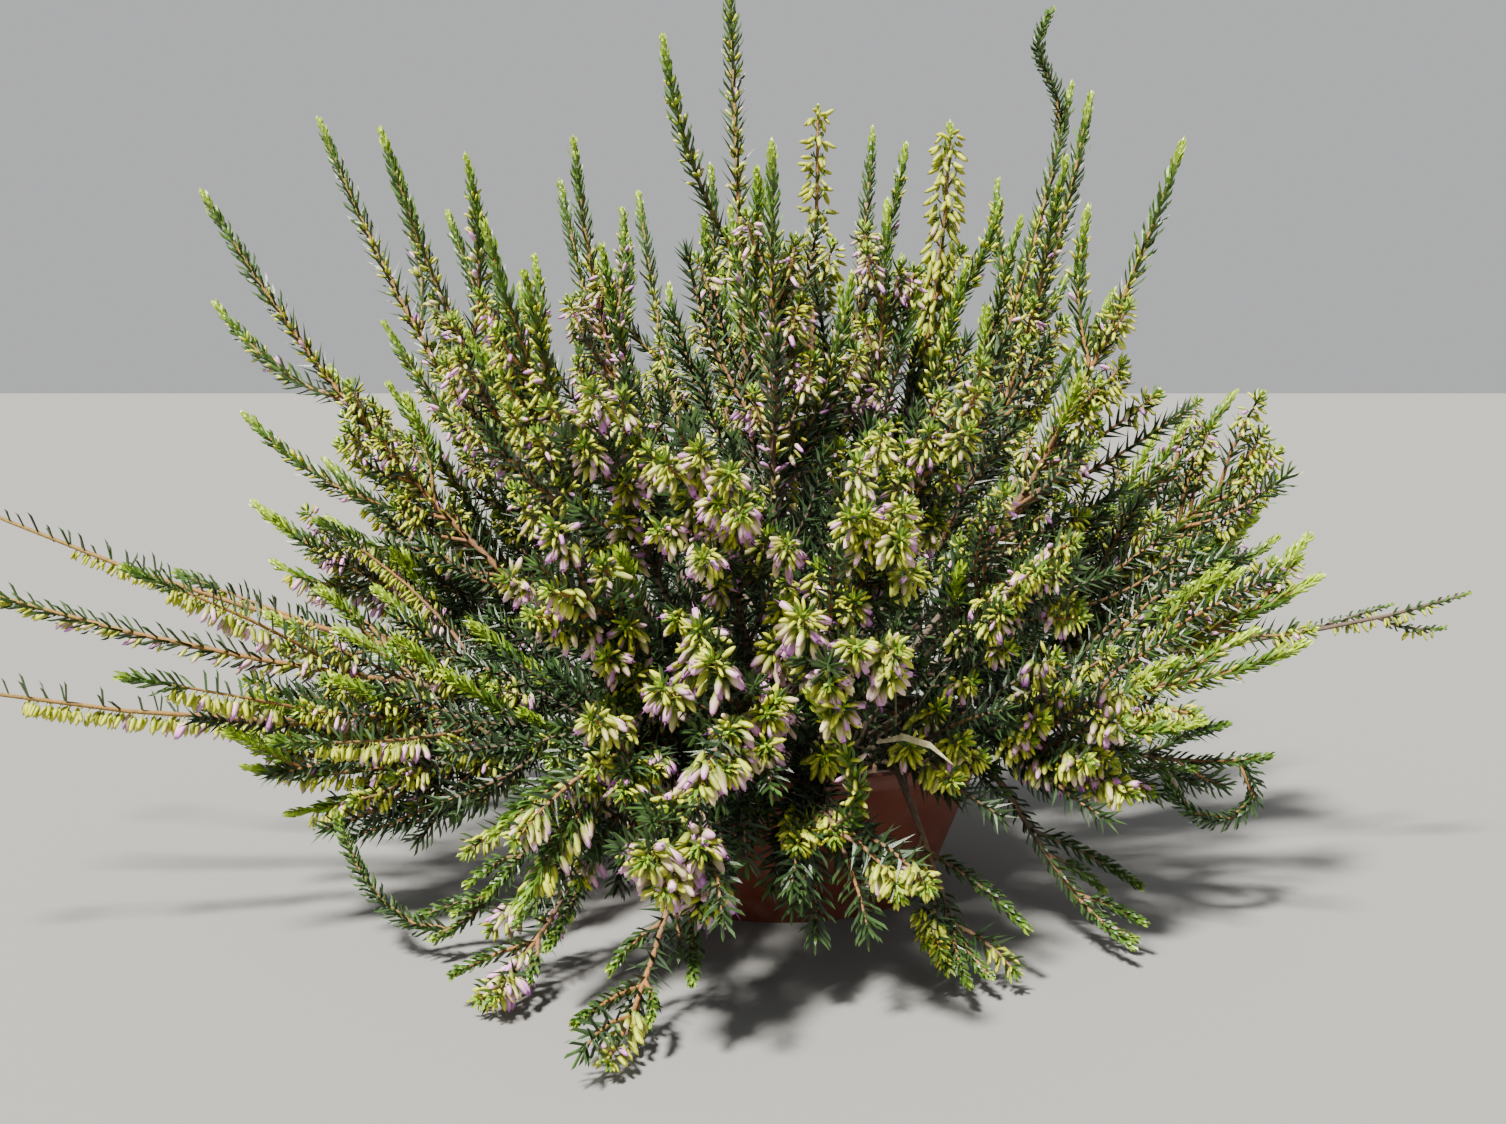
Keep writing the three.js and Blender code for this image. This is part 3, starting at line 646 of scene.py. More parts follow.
SHOOT_HANDLES = (0.36, 0.32)
SHOOT_BEND_AT = 0.45
TRAIL_SHOOT_TURNS = (math.radians(150), math.radians(30))
MAIN_RADII = (0.0016, 0.0005)
SHOOT_RADII = (0.0008, 0.0003)
CURVE_STEPS = 200
LEAST_LEAN = 0.05
BARK_REACH = 0.3
OLD_BARK = (0.120, 0.085, 0.060, 1)
YOUNG_BARK = (0.260, 0.115, 0.030, 1)
GREEN_BARK = (0.240, 0.165, 0.028, 1)
DRY_BARK = (0.075, 0.045, 0.030, 1)

# The turn round a stem that a shoot leaves it at, and how far it may stray from that.
AROUND = (0.0, math.pi)
ABOVE = (math.pi / 2, math.radians(80))
BELOW = (-math.pi / 2, math.radians(65))
OUTWARD = (-math.pi / 2, math.radians(85))
FORWARD = (-math.pi / 2, math.radians(60))
LEFT = (0.0, math.radians(40))
RIGHT = (math.pi, math.radians(40))
LEFT_DOWN = (math.radians(-35), math.radians(40))
RIGHT_DOWN = (math.radians(-145), math.radians(40))
LEFT_UP = (math.radians(45), math.radians(40))

# How a kind of spray grows: start and end in degrees on top of its mean rise, its handles as shares of
# its length, its bare share, where its two long side shoots leave it and how they lift, the stretch that
# flowers stand along, its role in the foliage, its share of coloured flowers, their size, how much
# younger its needles are, and the room that flowers take at its end. More shoots have a role, a number,
# the stretch within the bush that they leave from, lengths, a turn with its spread, and a lift.
BUSH_RADIUS = 0.155
HABITS = {
    "tall": dict(start=-3, end=2, handles=(0.36, 0.34), bare=0.2, shoots=(0.34, 0.62), lift=0.3,
        flowers=(0.5, 0.93), role="leader", open=0.1, size=0.95, youth=0.0, more=[
            ("raceme", 6, (0.5, 0.9), (0.02, 0.034), *OUTWARD, 0.3),
            ("raceme", 4, (0.6, 1.0), (0.016, 0.028), *AROUND, 0.35),
            ("fresh", 1, (0.7, 1.0), (0.025, 0.04), *AROUND, 0.3),
            ("inner", 14, (0.15, 0.8), (0.045, 0.07), *AROUND, 0.0)]),
    "upright": dict(start=-10, end=16, handles=(0.36, 0.34), bare=0.2, shoots=(0.34, 0.68), lift=0.3,
        flowers=(0.45, 0.84), role="leader", open=0.12, size=1.0, youth=0.0, more=[
            ("raceme", 8, (0.46, 0.94), (0.02, 0.036), *OUTWARD, 0.2),
            ("raceme", 4, (0.6, 1.05), (0.014, 0.026), *AROUND, 0.35),
            ("fresh", 1, (0.7, 1.0), (0.025, 0.04), *AROUND, 0.3),
            ("inner", 5, (0.1, 0.7), (0.03, 0.06), *AROUND, 0.1)]),
    "side": dict(start=0, end=14, handles=(0.32, 0.36), bare=0.12, shoots=(0.34, 0.7), lift=0.3,
        flowers=(0.4, 0.86), role="arching", open=0.3, size=1.0, youth=0.1, more=[
            ("raceme", 4, (0.45, 0.85), (0.02, 0.032), *OUTWARD, 0.1),
            ("raceme", 4, (0.45, 0.9), (0.018, 0.028), *ABOVE, 0.3),
            ("fresh", 2, (0.5, 0.9), (0.025, 0.042), *ABOVE, 0.3),
            ("inner", 10, (0.1, 0.65), (0.035, 0.06), *AROUND, 0.1)]),
    "long": dict(start=0, end=12, handles=(0.16, 0.42), bare=0.16, shoots=(0.26, 0.52), lift=0.1,
        flowers=(0.46, 0.84), role="hanging", open=0.0, size=1.0, youth=0.0, more=[
            ("raceme", 5, (0.5, 0.95), (0.02, 0.034), *AROUND, 0.2),
            ("fresh", 2, (0.5, 0.9), (0.025, 0.04), *ABOVE, 0.3),
            ("inner", 9, (0.15, 0.9), (0.035, 0.06), *AROUND, 0.1)]),
    "dry": dict(start=0, end=6, handles=(0.32, 0.36), bare=0.86, shoots=(0.66, 0.86), lift=0.1,
        flowers=(0.8, 0.94), role="dry", open=0.0, size=0.9, youth=0.0, more=[]),
    "head": dict(start=0, end=-14, handles=(0.36, 0.34), bare=0.12, shoots=(0.4, 0.7), lift=0.1,
        flowers=None, role="raceme", open=0.4, size=1.15, youth=0.0, room=0.015, more=[
            ("raceme", 5, (0.5, 0.9), (0.02, 0.034), *AROUND, 0.1),
            ("raceme", 3, (0.45, 0.8), (0.02, 0.03), *BELOW, 0.0),
            ("fresh", 1, (0.5, 0.8), (0.02, 0.032), *ABOVE, 0.3),
            ("dark", 3, (0.45, 0.85), (0.018, 0.03), *AROUND, 0.1),
            ("dark", 2, (0.3, 0.75), (0.02, 0.03), *BELOW, -0.1),
            ("inner", 5, (0.12, 0.75), (0.03, 0.05), *AROUND, 0.0)]),
    "trail": dict(start=0, end=0, handles=(0, 0.34), bare=0.25, shoots=(0.5, 0.8), lift=0.3, flowers=None,
        role="creeping", open=0.1, size=0.9, youth=0.0, more=[
            ("dark", 3, (0.15, 0.4), (0.02, 0.03), *AROUND, -0.2),
            ("creeping", 2, (0.5, 0.8), (0.012, 0.024), *ABOVE, 0.1)]),
}

# What single sprays do in their own way: more and also give them other and further shoots, and
# shoots_role is the role of their two long side shoots.
OWN_WAYS = {
    "behind_tall": dict(also=[("inner", 7, (0.2, 0.75), (0.045, 0.07), *AROUND, 0.0)]),
    "pink_topped": dict(open=0.85, also=[
        ("raceme", 4, (0.3, 0.65), (0.035, 0.055), *FORWARD, -0.6),
        ("inner", 7, (0.2, 0.75), (0.045, 0.07), *AROUND, 0.0)]),
    "left_centre": dict(open=0.8, flowers=(0.4, 0.82)),
    "left_third": dict(open=0.5),
    "left_second": dict(open=0.4),
    "left_pair": dict(open=0.5),
    "centre_pair": dict(open=0.6, also=[
        ("raceme", 8, (0.25, 0.7), (0.045, 0.075), *FORWARD, -0.7),
        ("inner", 6, (0.2, 0.75), (0.045, 0.07), *AROUND, 0.0)]),
    "bell_tower": dict(role="tower", open=0.05, flowers=(0.64, 0.99), size=1.15),
    "bud_topped": dict(role="knotted", open=0.0, flowers=(0.7, 0.985), size=1.25),
    "right_side_pink": dict(open=0.7, also=[
        ("raceme", 3, (0.35, 0.8), (0.022, 0.036), *LEFT, 0.1),
        ("dark", 5, (0.3, 0.9), (0.03, 0.045), *AROUND, 0.1)]),
    "right_second": dict(youth=0.1, also=[
        ("inner", 6, (0.2, 0.7), (0.05, 0.075), *FORWARD, -0.3),
        ("raceme", 5, (0.3, 0.8), (0.03, 0.05), *BELOW, -0.2)]),
    "right_side_high": dict(youth=0.15, open=0.5, also=[
        ("raceme", 3, (0.35, 0.8), (0.022, 0.036), *LEFT, 0.1),
        ("raceme", 4, (0.4, 1.0), (0.022, 0.04), *ABOVE, 0.5),
        ("dark", 5, (0.3, 0.8), (0.03, 0.045), *AROUND, 0.1)]),
    "right_side_middle": dict(youth=0.15, also=[
        ("raceme", 4, (0.5, 1.0), (0.024, 0.04), *ABOVE, 0.3),
        ("dark", 6, (0.3, 0.9), (0.03, 0.045), *AROUND, 0.1)]),
    "right_low_back": dict(youth=0.25, role="leader", shoots_role="leader", open=0.2, also=[
        ("raceme", 3, (0.25, 0.7), (0.022, 0.036), *LEFT, 0.1)]),
    "right_low_front": dict(youth=0.25, role="leader", shoots_role="leader", open=0.1, more=[
        ("raceme", 4, (0.35, 0.7), (0.02, 0.03), *BELOW, 0.0),
        ("raceme", 3, (0.3, 0.6), (0.02, 0.03), *ABOVE, 0.2),
        ("fresh", 2, (0.3, 0.6), (0.025, 0.04), *ABOVE, 0.3),
        ("inner", 4, (0.1, 0.6), (0.03, 0.05), *AROUND, 0.0)]),
    "curled": dict(youth=-0.1, role="creeping", shoots_role="creeping", open=0.3, more=[
        ("raceme", 3, (0.35, 0.6), (0.02, 0.03), *BELOW, 0.0),
        ("dark", 4, (0.3, 0.8), (0.015, 0.025), *BELOW, 0.0),
        ("inner", 4, (0.1, 0.6), (0.03, 0.05), *AROUND, 0.0)]),
    "long_high": dict(flowers=(0.62, 0.8), size=0.8, also=[
        ("raceme", 4, (0.3, 0.9), (0.024, 0.04), *RIGHT, 0.1),
        ("fresh", 1, (0.4, 0.8), (0.03, 0.045), *RIGHT, 0.5)]),
    "long_middle": dict(role="budded", flowers=(0.4, 0.9), open=0.3, size=1.1, also=[
        ("raceme", 6, (0.25, 0.9), (0.024, 0.045), *RIGHT, 0.1),
        ("fresh", 2, (0.3, 0.8), (0.03, 0.045), *RIGHT, 0.5)]),
    "left_side_front": dict(open=0.75, size=1.1, also=[
        ("raceme", 5, (0.3, 0.8), (0.024, 0.045), *RIGHT, 0.1),
        ("dark", 6, (0.3, 0.8), (0.03, 0.045), *AROUND, 0.1),
        ("fresh", 1, (0.3, 0.7), (0.03, 0.045), *RIGHT, 0.5)]),
    "left_side_back": dict(open=0.6, also=[
        ("arching", 2, (0.5, 0.95), (0.035, 0.05), *BELOW, 0.1),
        ("dark", 4, (0.3, 0.8), (0.03, 0.045), *AROUND, 0.1)]),
    "left_side_high": dict(role="arching", open=0.4, also=[
        ("arching", 3, (0.45, 0.95), (0.035, 0.05), *BELOW, 0.1),
        ("dark", 4, (0.3, 0.8), (0.03, 0.045), *AROUND, 0.1)]),
    "long_low": dict(open=0.2, size=1.1, also=[
        ("raceme", 6, (0.25, 0.9), (0.024, 0.045), *RIGHT, 0.1),
        ("dark", 4, (0.2, 0.7), (0.03, 0.045), *AROUND, 0.1),
        ("fresh", 2, (0.3, 0.8), (0.03, 0.045), *RIGHT, 0.5)]),
    "left_low": dict(also=[
        ("raceme", 5, (0.3, 0.65), (0.024, 0.036), *BELOW, -0.3),
        ("dark", 5, (0.25, 0.6), (0.024, 0.038), *BELOW, -0.5)]),
    "trailing_left": dict(youth=0.15, also=[
        ("raceme", 5, (0.25, 0.55), (0.02, 0.036), *AROUND, 0.1),
        ("dark", 3, (0.2, 0.5), (0.02, 0.036), *AROUND, 0.0)]),
    "trailing_front_left": dict(role="raceme", open=0.8, size=1.15, room=0.024, also=[
        ("raceme", 5, (0.3, 0.65), (0.024, 0.04), *AROUND, 0.1),
        ("raceme", 1, (0.8, 0.9), (0.014, 0.018), *ABOVE, 0.1),
        ("dark", 5, (0.2, 0.6), (0.02, 0.034), *AROUND, -0.2)]),
    "trailing_front": dict(role="raceme", open=0.1, size=1.15, room=0.022, also=[
        ("dark", 5, (0.3, 0.9), (0.014, 0.026), *AROUND, -0.1)]),
    "trailing_right": dict(bare=0.45),
    "trailing_under": dict(bare=0.7, more=[
        ("raceme", 4, (0.5, 0.8), (0.018, 0.03), *LEFT, 0.1),
        ("raceme", 1, (0.6, 0.8), (0.018, 0.026), *RIGHT, 0.1)]),
    "head_low_centre": dict(open=0.75, size=1.3, also=[
        ("raceme", 4, (0.5, 0.9), (0.03, 0.05), *LEFT_UP, 0.3),
        ("dark", 6, (0.4, 0.8), (0.03, 0.045), *BELOW, -0.7)]),
    "head_low_left": dict(open=0.5, size=1.15, also=[
        ("arching", 4, (0.4, 0.9), (0.036, 0.056), *LEFT_DOWN, -0.5),
        ("raceme", 4, (0.4, 0.9), (0.026, 0.045), *LEFT_DOWN, -0.5),
        ("dark", 7, (0.4, 0.8), (0.03, 0.052), *LEFT_DOWN, -0.7)]),
    "head_big": dict(open=0.9, size=1.5, room=0.018, more=[
        ("raceme", 3, (0.6, 0.9), (0.018, 0.026), *AROUND, 0.1),
        ("dark", 3, (0.6, 0.85), (0.018, 0.028), *ABOVE, 0.2),
        ("dark", 9, (0.3, 0.8), (0.026, 0.042), *RIGHT_DOWN, -0.7)]),
    "head_rim_right": dict(open=0.1, size=1.1, more=[
        ("raceme", 2, (0.6, 0.9), (0.02, 0.03), *ABOVE, 0.2),
        ("inner", 4, (0.12, 0.75), (0.03, 0.05), *AROUND, 0.0)]),
    "head_over_rim": dict(open=0.08, more=[
        ("raceme", 3, (0.55, 0.85), (0.02, 0.028), *LEFT, 0.0),
        ("raceme", 5, (0.6, 0.95), (0.03, 0.05), *RIGHT, -0.1),
        ("dark", 10, (0.35, 0.9), (0.026, 0.042), *LEFT_DOWN, -0.7),
        ("dark", 5, (0.35, 0.9), (0.022, 0.036), *RIGHT_DOWN, -0.7)]),
    "head_middle": dict(open=0.45, size=1.25, also=[
        ("raceme", 3, (0.5, 0.9), (0.026, 0.04), *LEFT_UP, 0.4)]),
    "head_high_left": dict(open=0.55, size=1.1, also=[
        ("raceme", 4, (0.55, 0.95), (0.02, 0.032), *RIGHT_DOWN, -0.2),
        ("raceme", 5, (0.4, 0.8), (0.035, 0.055), *BELOW, -0.5)]),
    "head_high_right": dict(open=0.35, size=1.1, also=[
        ("raceme", 4, (0.55, 0.95), (0.02, 0.034), *LEFT_DOWN, -0.1)]),
    "head_middle_left": dict(open=0.5, size=1.05, also=[
        ("raceme", 3, (0.4, 0.85), (0.026, 0.04), *LEFT_DOWN, -0.2)]),
    "head_top_left": dict(open=0.45, size=1.05),
    "head_top_right": dict(size=1.05, open=0.3, also=[
        ("inner", 6, (0.2, 0.8), (0.045, 0.07), *RIGHT, 0.1)]),
    "head_middle_right": dict(size=0.95, open=0.3, also=[
        ("raceme", 4, (0.35, 0.8), (0.03, 0.05), *BELOW, -0.3)]),
    "head_low_right": dict(open=0.35, also=[("raceme", 4, (0.4, 0.9), (0.026, 0.045), *ABOVE, 0.1)]),
}

# Each spray: its name, where its main stem ends, and its habit.
SPRAYS = [
    ("tall", (-0.018, 0.020, 0.308), "tall"),
    ("left_arch", (-0.194, 0.010, 0.231), "upright"),
    ("left_tall", (-0.168, 0.062, 0.262), "upright"),
    ("left_second", (-0.127, -0.020, 0.247), "upright"),
    ("left_pair", (-0.127, 0.090, 0.231), "upright"),
    ("left_third", (-0.106, 0.024, 0.234), "upright"),
    ("left_leaning", (-0.087, -0.070, 0.215), "upright"),
    ("back_left", (-0.088, 0.125, 0.246), "upright"),
    ("left_centre", (-0.073, 0.040, 0.252), "upright"),
    ("back_centre", (-0.058, 0.150, 0.244), "upright"),
    ("behind_tall", (-0.026, 0.088, 0.248), "upright"),
    ("centre_pair", (-0.004, -0.038, 0.241), "upright"),
    ("bud_topped", (0.014, 0.062, 0.268), "upright"),
    ("right_centre", (0.038, 0.118, 0.266), "upright"),
    ("pink_topped", (0.034, -0.008, 0.226), "upright"),
    ("bell_tower", (0.058, 0.026, 0.255), "upright"),
    ("back_right", (0.108, 0.134, 0.236), "upright"),
    ("wavy_topped", (0.108, 0.072, 0.276), "upright"),
    ("right_tall", (0.104, 0.016, 0.264), "upright"),
    ("right_second", (0.122, -0.034, 0.242), "upright"),
    ("right_side_high", (0.172, 0.070, 0.163), "upright"),
    ("right_side_middle", (0.160, 0.000, 0.146), "upright"),
    ("right_side_pink", (0.178, 0.034, 0.112), "side"),
    ("right_low_back", (0.164, -0.050, 0.110), "side"),
    ("right_low_front", (0.148, -0.086, 0.096), "side"),
    ("dry_twig", (0.234, 0.000, 0.098), "dry"),
    ("curled", (0.152, -0.050, 0.054), "side"),
    ("long_high", (-0.300, -0.006, 0.144), "long"),
    ("long_middle", (-0.284, -0.056, 0.122), "long"),
    ("long_low", (-0.268, -0.096, 0.094), "long"),
    ("left_side_front", (-0.190, 0.040, 0.124), "side"),
    ("left_side_back", (-0.178, 0.092, 0.136), "side"),
    ("left_side_high", (-0.165, 0.056, 0.172), "upright"),
    ("left_low", (-0.160, -0.072, 0.056), "side"),
    ("trailing_left", (-0.104, -0.088, 0.009), "trail"),
    ("trailing_front_left", (-0.084, -0.126, 0.006), "trail"),
    ("trailing_front", (-0.046, -0.164, 0.006), "trail"),
    ("trailing_right", (0.104, -0.080, 0.006), "trail"),
    ("trailing_under", (0.056, -0.114, 0.008), "trail"),
    ("head_low_centre", (-0.016, -0.142, 0.084), "head"),
    ("head_low_left", (-0.052, -0.132, 0.072), "head"),
    ("head_big", (-0.032, -0.165, 0.050), "head"),
    ("head_over_rim", (0.012, -0.122, 0.050), "head"),
    ("head_rim_right", (0.046, -0.110, 0.062), "head"),
    ("head_low_right", (0.094, -0.088, 0.062), "head"),
    ("head_high_left", (-0.024, -0.132, 0.156), "head"),
    ("head_high_right", (0.028, -0.146, 0.142), "head"),
    ("head_middle", (0.016, -0.152, 0.108), "head"),
    ("head_middle_left", (-0.062, -0.136, 0.120), "head"),
    ("head_middle_right", (0.076, -0.118, 0.130), "head"),
    ("head_top_left", (-0.066, -0.104, 0.166), "head"),
    ("head_top_right", (0.054, -0.092, 0.170), "head"),
    ("rear_low_centre", (-0.030, 0.178, 0.090), "side"),
    ("rear_low_right", (0.060, 0.170, 0.110), "side"),
    ("rear_right", (0.120, 0.128, 0.150), "upright"),
    ("rear_low_left", (-0.110, 0.140, 0.100), "side"),
    ("rear_upper", (0.010, 0.150, 0.180), "upright"),
    ("rear_side_right", (0.128, 0.110, 0.070), "side"),
]

# Ends that go on past the main stem's own curve: their role, and the rest of their cubic curve.
EXTRA_END_FROM = 0.93
EXTRA_END_FLOWERS = (0.3, 0.9)
EXTRA_END_RADII = (0.0006, 0.0004)
EXTRA_ENDS = {
    "wavy_topped": ("end", (0.106, 0.072, 0.286), (0.088, 0.072, 0.284), (0.100, 0.072, 0.304)),
    "curled": ("end", (0.158, -0.058, 0.038), (0.126, -0.056, 0.022), (0.118, -0.054, 0.052)),
    "trailing_left": ("end", (-0.116, -0.086, 0.009), (-0.128, -0.080, 0.024), (-0.134, -0.076, 0.042)),
    "head_low_centre": ("raceme", (-0.018, -0.145, 0.082), (-0.022, -0.152, 0.080), (-0.024, -0.157, 0.072)),
    "head_over_rim": ("budding", (0.022, -0.130, 0.058), (0.018, -0.136, 0.074), (0.006, -0.134, 0.091)),
}

UP = np.array([0.0, 0.0, 1.0])

# Bark is oldest at the compost and youngest furthest from it, with an uneven edge between its ages.
bark_finish, tree, shader = new_finish("heath_bark", 0.7)
heart = {"Vector": object_place(tree), "Location": (0, 0, -COMPOST_TOP)}
heart = place_node(tree, "ShaderNodeMapping", heart).outputs["Vector"]
reach = place_node(tree, "ShaderNodeVectorMath", {0: heart}, operation="LENGTH")
wander = mottle(tree, 45.0, -0.035, 0.035, bump_scale=1500.0, bump=0.7)
reach = calculate(tree, "ADD", reach.outputs["Value"], wander.outputs["Patches"])
age = remap(tree, reach, 0.0, 1.0, end=BARK_REACH)
colour = ramp(tree, age, (0.0, OLD_BARK), (0.3, OLD_BARK), (0.5, YOUNG_BARK), (1.0, GREEN_BARK))
colour = tinted(tree, colour, mottle(tree, 700.0).outputs["Patches"], 0.6, 1.25)
connect(tree, shader, colour, wander)
dry_bark_finish = two_tone("dry_bark", DRY_BARK, OLD_BARK, 0.8, 300.0, 1500.0, 0.7)


def draw(spray, shoot, use):
    """A repeatable draw between 0 and 1 for a spray, a shoot on it and a use."""
    wave = math.sin(spray * 12.9898 + shoot * 78.233 + use * 37.719) * 43758.5453
    return wave - math.floor(wave)


def aim(turn, rise):
    return np.array([math.cos(turn) * math.cos(rise), math.sin(turn) * math.cos(rise), math.sin(rise)])


def spots_on(curve, shares):
    t = np.asarray(shares, float)[..., None]
    a, b, c, d = curve
    return (1 - t) ** 3 * a + 3 * (1 - t) ** 2 * t * b + 3 * (1 - t) * t * t * c + t ** 3 * d


def headings_on(curve, shares):
    t = np.asarray(shares, float)[..., None]
    a, b, c, d = curve
    return unit((1 - t) ** 2 * (b - a) + 2 * (1 - t) * t * (c - b) + t * t * (d - c) + 1e-12)


def length_of(curve):
    spots = spots_on(curve, np.linspace(0, 1, CURVE_STEPS + 1))
    return np.linalg.norm(np.diff(spots, axis=0), axis=1).sum()


def out_of(alongs, turns):
    """Directions out of a stem, 0 being level and a quarter turn being above it."""
    level = np.cross(alongs, UP)
    length = np.maximum(np.linalg.norm(level, axis=-1, keepdims=True), 1e-9)
    leans = (level ** 2).sum(-1, keepdims=True) > LEAST_LEAN
    level = np.where(leans, level / length, [1.0, 0, 0])
    above = np.cross(level, alongs)
    turns = np.asarray(turns, float)[..., None]
    return unit(level * np.cos(turns) + above * np.sin(turns))


def bent_curve(start, out, start_handle, end, on, end_handle):
    return np.array([start, start + out * start_handle, end - on * end_handle, end])


def bearing(tip):
    """How steeply and which way a tip lies from the middle of the compost."""
    x, y, z = tip
    return math.atan2(z - COMPOST_TOP, math.hypot(x, y)), math.atan2(y, x)


def foot_places():
    """Feet share the compost out as the sprays share out the sky, and are then spaced apart."""
    feet = []
    for _, tip, _ in SPRAYS:
        rise, turn = bearing(tip)
        radius = FOOT_SPREAD * math.sqrt((1 - math.sin(rise)) / (1 - math.sin(LOWEST_RISE)))
        feet.append([radius * math.cos(turn), radius * math.sin(turn)])
    feet = np.array(feet)
    for _ in range(SPACING_ROUNDS):
        for i in range(len(feet)):
            for j in range(i):
                apart = feet[i] - feet[j]
                gap = math.hypot(*apart)
                if gap < FOOT_GAP:
                    apart *= (FOOT_GAP - gap) / 2 / gap
                    feet[i] += apart
                    feet[j] -= apart
        reach = np.linalg.norm(feet, axis=1, keepdims=True)
        feet *= np.minimum(1, FOOT_LIMIT / reach)
    return feet


def main_curve(tip, kind, foot):
    """The main stem of a spray, from its foot in the compost to its tip."""
    habit = HABITS[kind]
    rise, turn = bearing(tip)
    start = np.array([foot[0], foot[1], COMPOST_TOP + STRAIGHT_NECK])
    end = np.array(tip)
    length = np.linalg.norm(end - start)
    start_handle, end_handle = (length * share for share in habit["handles"])
    if kind == "trail":
        up = aim(turn, TRAIL_START_RISE)
        return bent_curve(start, up, TRAIL_START_HANDLE, end, aim(turn, 0), end_handle)
    lowest = NEAR_RIM_START_RISE if math.hypot(*foot) > NEAR_RIM_FOOT else LEAST_START_RISE
    start_rise = np.clip(rise + math.radians(habit["start"]), lowest, MOST_START_RISE)
    end_rise = np.clip(rise + math.radians(habit["end"]), *END_RISES)
    return bent_curve(start, aim(turn, start_rise), start_handle, end, aim(turn, end_rise), end_handle)


def side_shoot(main, at, turn, reach, lift):
    """A side shoot that leaves the main stem, spreads from it and turns up or down beside it."""
    root = spots_on(main, at)
    along = headings_on(main, at)
    out = out_of(along, turn)
    leave = along * math.cos(SHOOT_ANGLE) + out * math.sin(SHOOT_ANGLE)
    on = unit(along + out * SHOOT_END_SPREAD + UP * lift)
    end = root + leave * reach * SHOOT_BEND_AT + on * reach * (1 - SHOOT_BEND_AT)
    return bent_curve(root, leave, reach * SHOOT_HANDLES[0], end, on, reach * SHOOT_HANDLES[1])


def share_of(stretch, k):
    """The place of the k-th shoot on a stretch: a golden step on from the last, so none comes twice."""
    return stretch[0] + (stretch[1] - stretch[0]) * ((FIRST_SHARE + GOLDEN_SHARE * k) % 1)


# The foliage. Needles stand in whorls of four, closely laid up the stem at a tip and spread wide lower
# down; buds stand and bells hang in their axils. Each spray with its stems is one grown piece.
WHORL = 4
FIRST_WHORL = 0.0010
EIGHTH_TURN = math.pi / 4
NEEDLE_LIFT = 0.06
NEEDLE_SHORT_AND_LONG = (0.85, 1.06)
NEEDLE_NARROW_AND_WIDE = (0.9, 1.2)
RACEME_NEEDLES_KEPT = (0.12, 0.5)
RACEME_TUFT = 0.003
RACEME_ABOVE = 0.3
ARCHING_BELOW = -0.2
HANGING_OLDER = 0.020
HANGING_KEPT = 0.75
HANGING_NEEDLE_WAY = (0.35, 0.4, 0.8)
HANGING_STRAY = 0.25
HANGING_LENGTHS = (0.6, 1.0)
PLACE_STRAY = 0.0003
NEEDLE_TURN_STRAY = 0.16
NEEDLE_SPREAD_STRAY = 5
FRESHNESS_STRAY = 0.05
OFF_SURFACE = 0.0008
OFF_WALL = 0.001
SHOOT_OFF_SURFACE = 0.004
SHOOT_OFF_WALL = (0.002, 0.004)
SHOOT_OFF_TOP = 0.003
SHOOT_FLOWERS = (0.35, 0.82)
SHOOT_BARE = 0.2
LONG_SHOOT_BARE = 0.04
SHOOT_LIFT_SPREAD = 0.3
SHOOT_TRIES = 4
LAST_SHOOT_AT = 0.95
RACEME_TIP = 0.0015
RACEME_FROM = 0.1
FLOWERS_ROOM = 0.0120
LIMB_STEPS = 64
LONG_SHOOT = 0.040
STALK_ALONG = 0.5
STALK_STRAY = 0.1
FLOWER_TURN_STRAY = 0.3
FLOWER_PLACE_STRAY = 0.12
FLOWER_SMALL_AND_LARGE = (0.92, 1.08)
FLOWER_NARROW_AND_WIDE = (0.9, 1.12)
FLOWER_CLEARANCE = 0.001
COLOURED_FROM = 0.2
COLOURED_GROWTH = 1.18
OPENED_SHARE = 0.45
BUD_RIPENESS = 0.45
COLOURED_RIPENESS = 0.6
MIDDLE_SIZE = 0.78
LARGE_SIZE = 0.84
MAIN_STEM_STEPS = 8
LONG_SHOOT_STEPS = 4
SHORT_SHOOT_STEPS = 3
FOOT_HANDLE = 0.004
FIRST_SEED = 100
FINISHES = [needle_finish, sepal_finish, petal_finish, anther_finish, stalk_finish]
SMOOTH_SLOTS = [1, 2, 3]

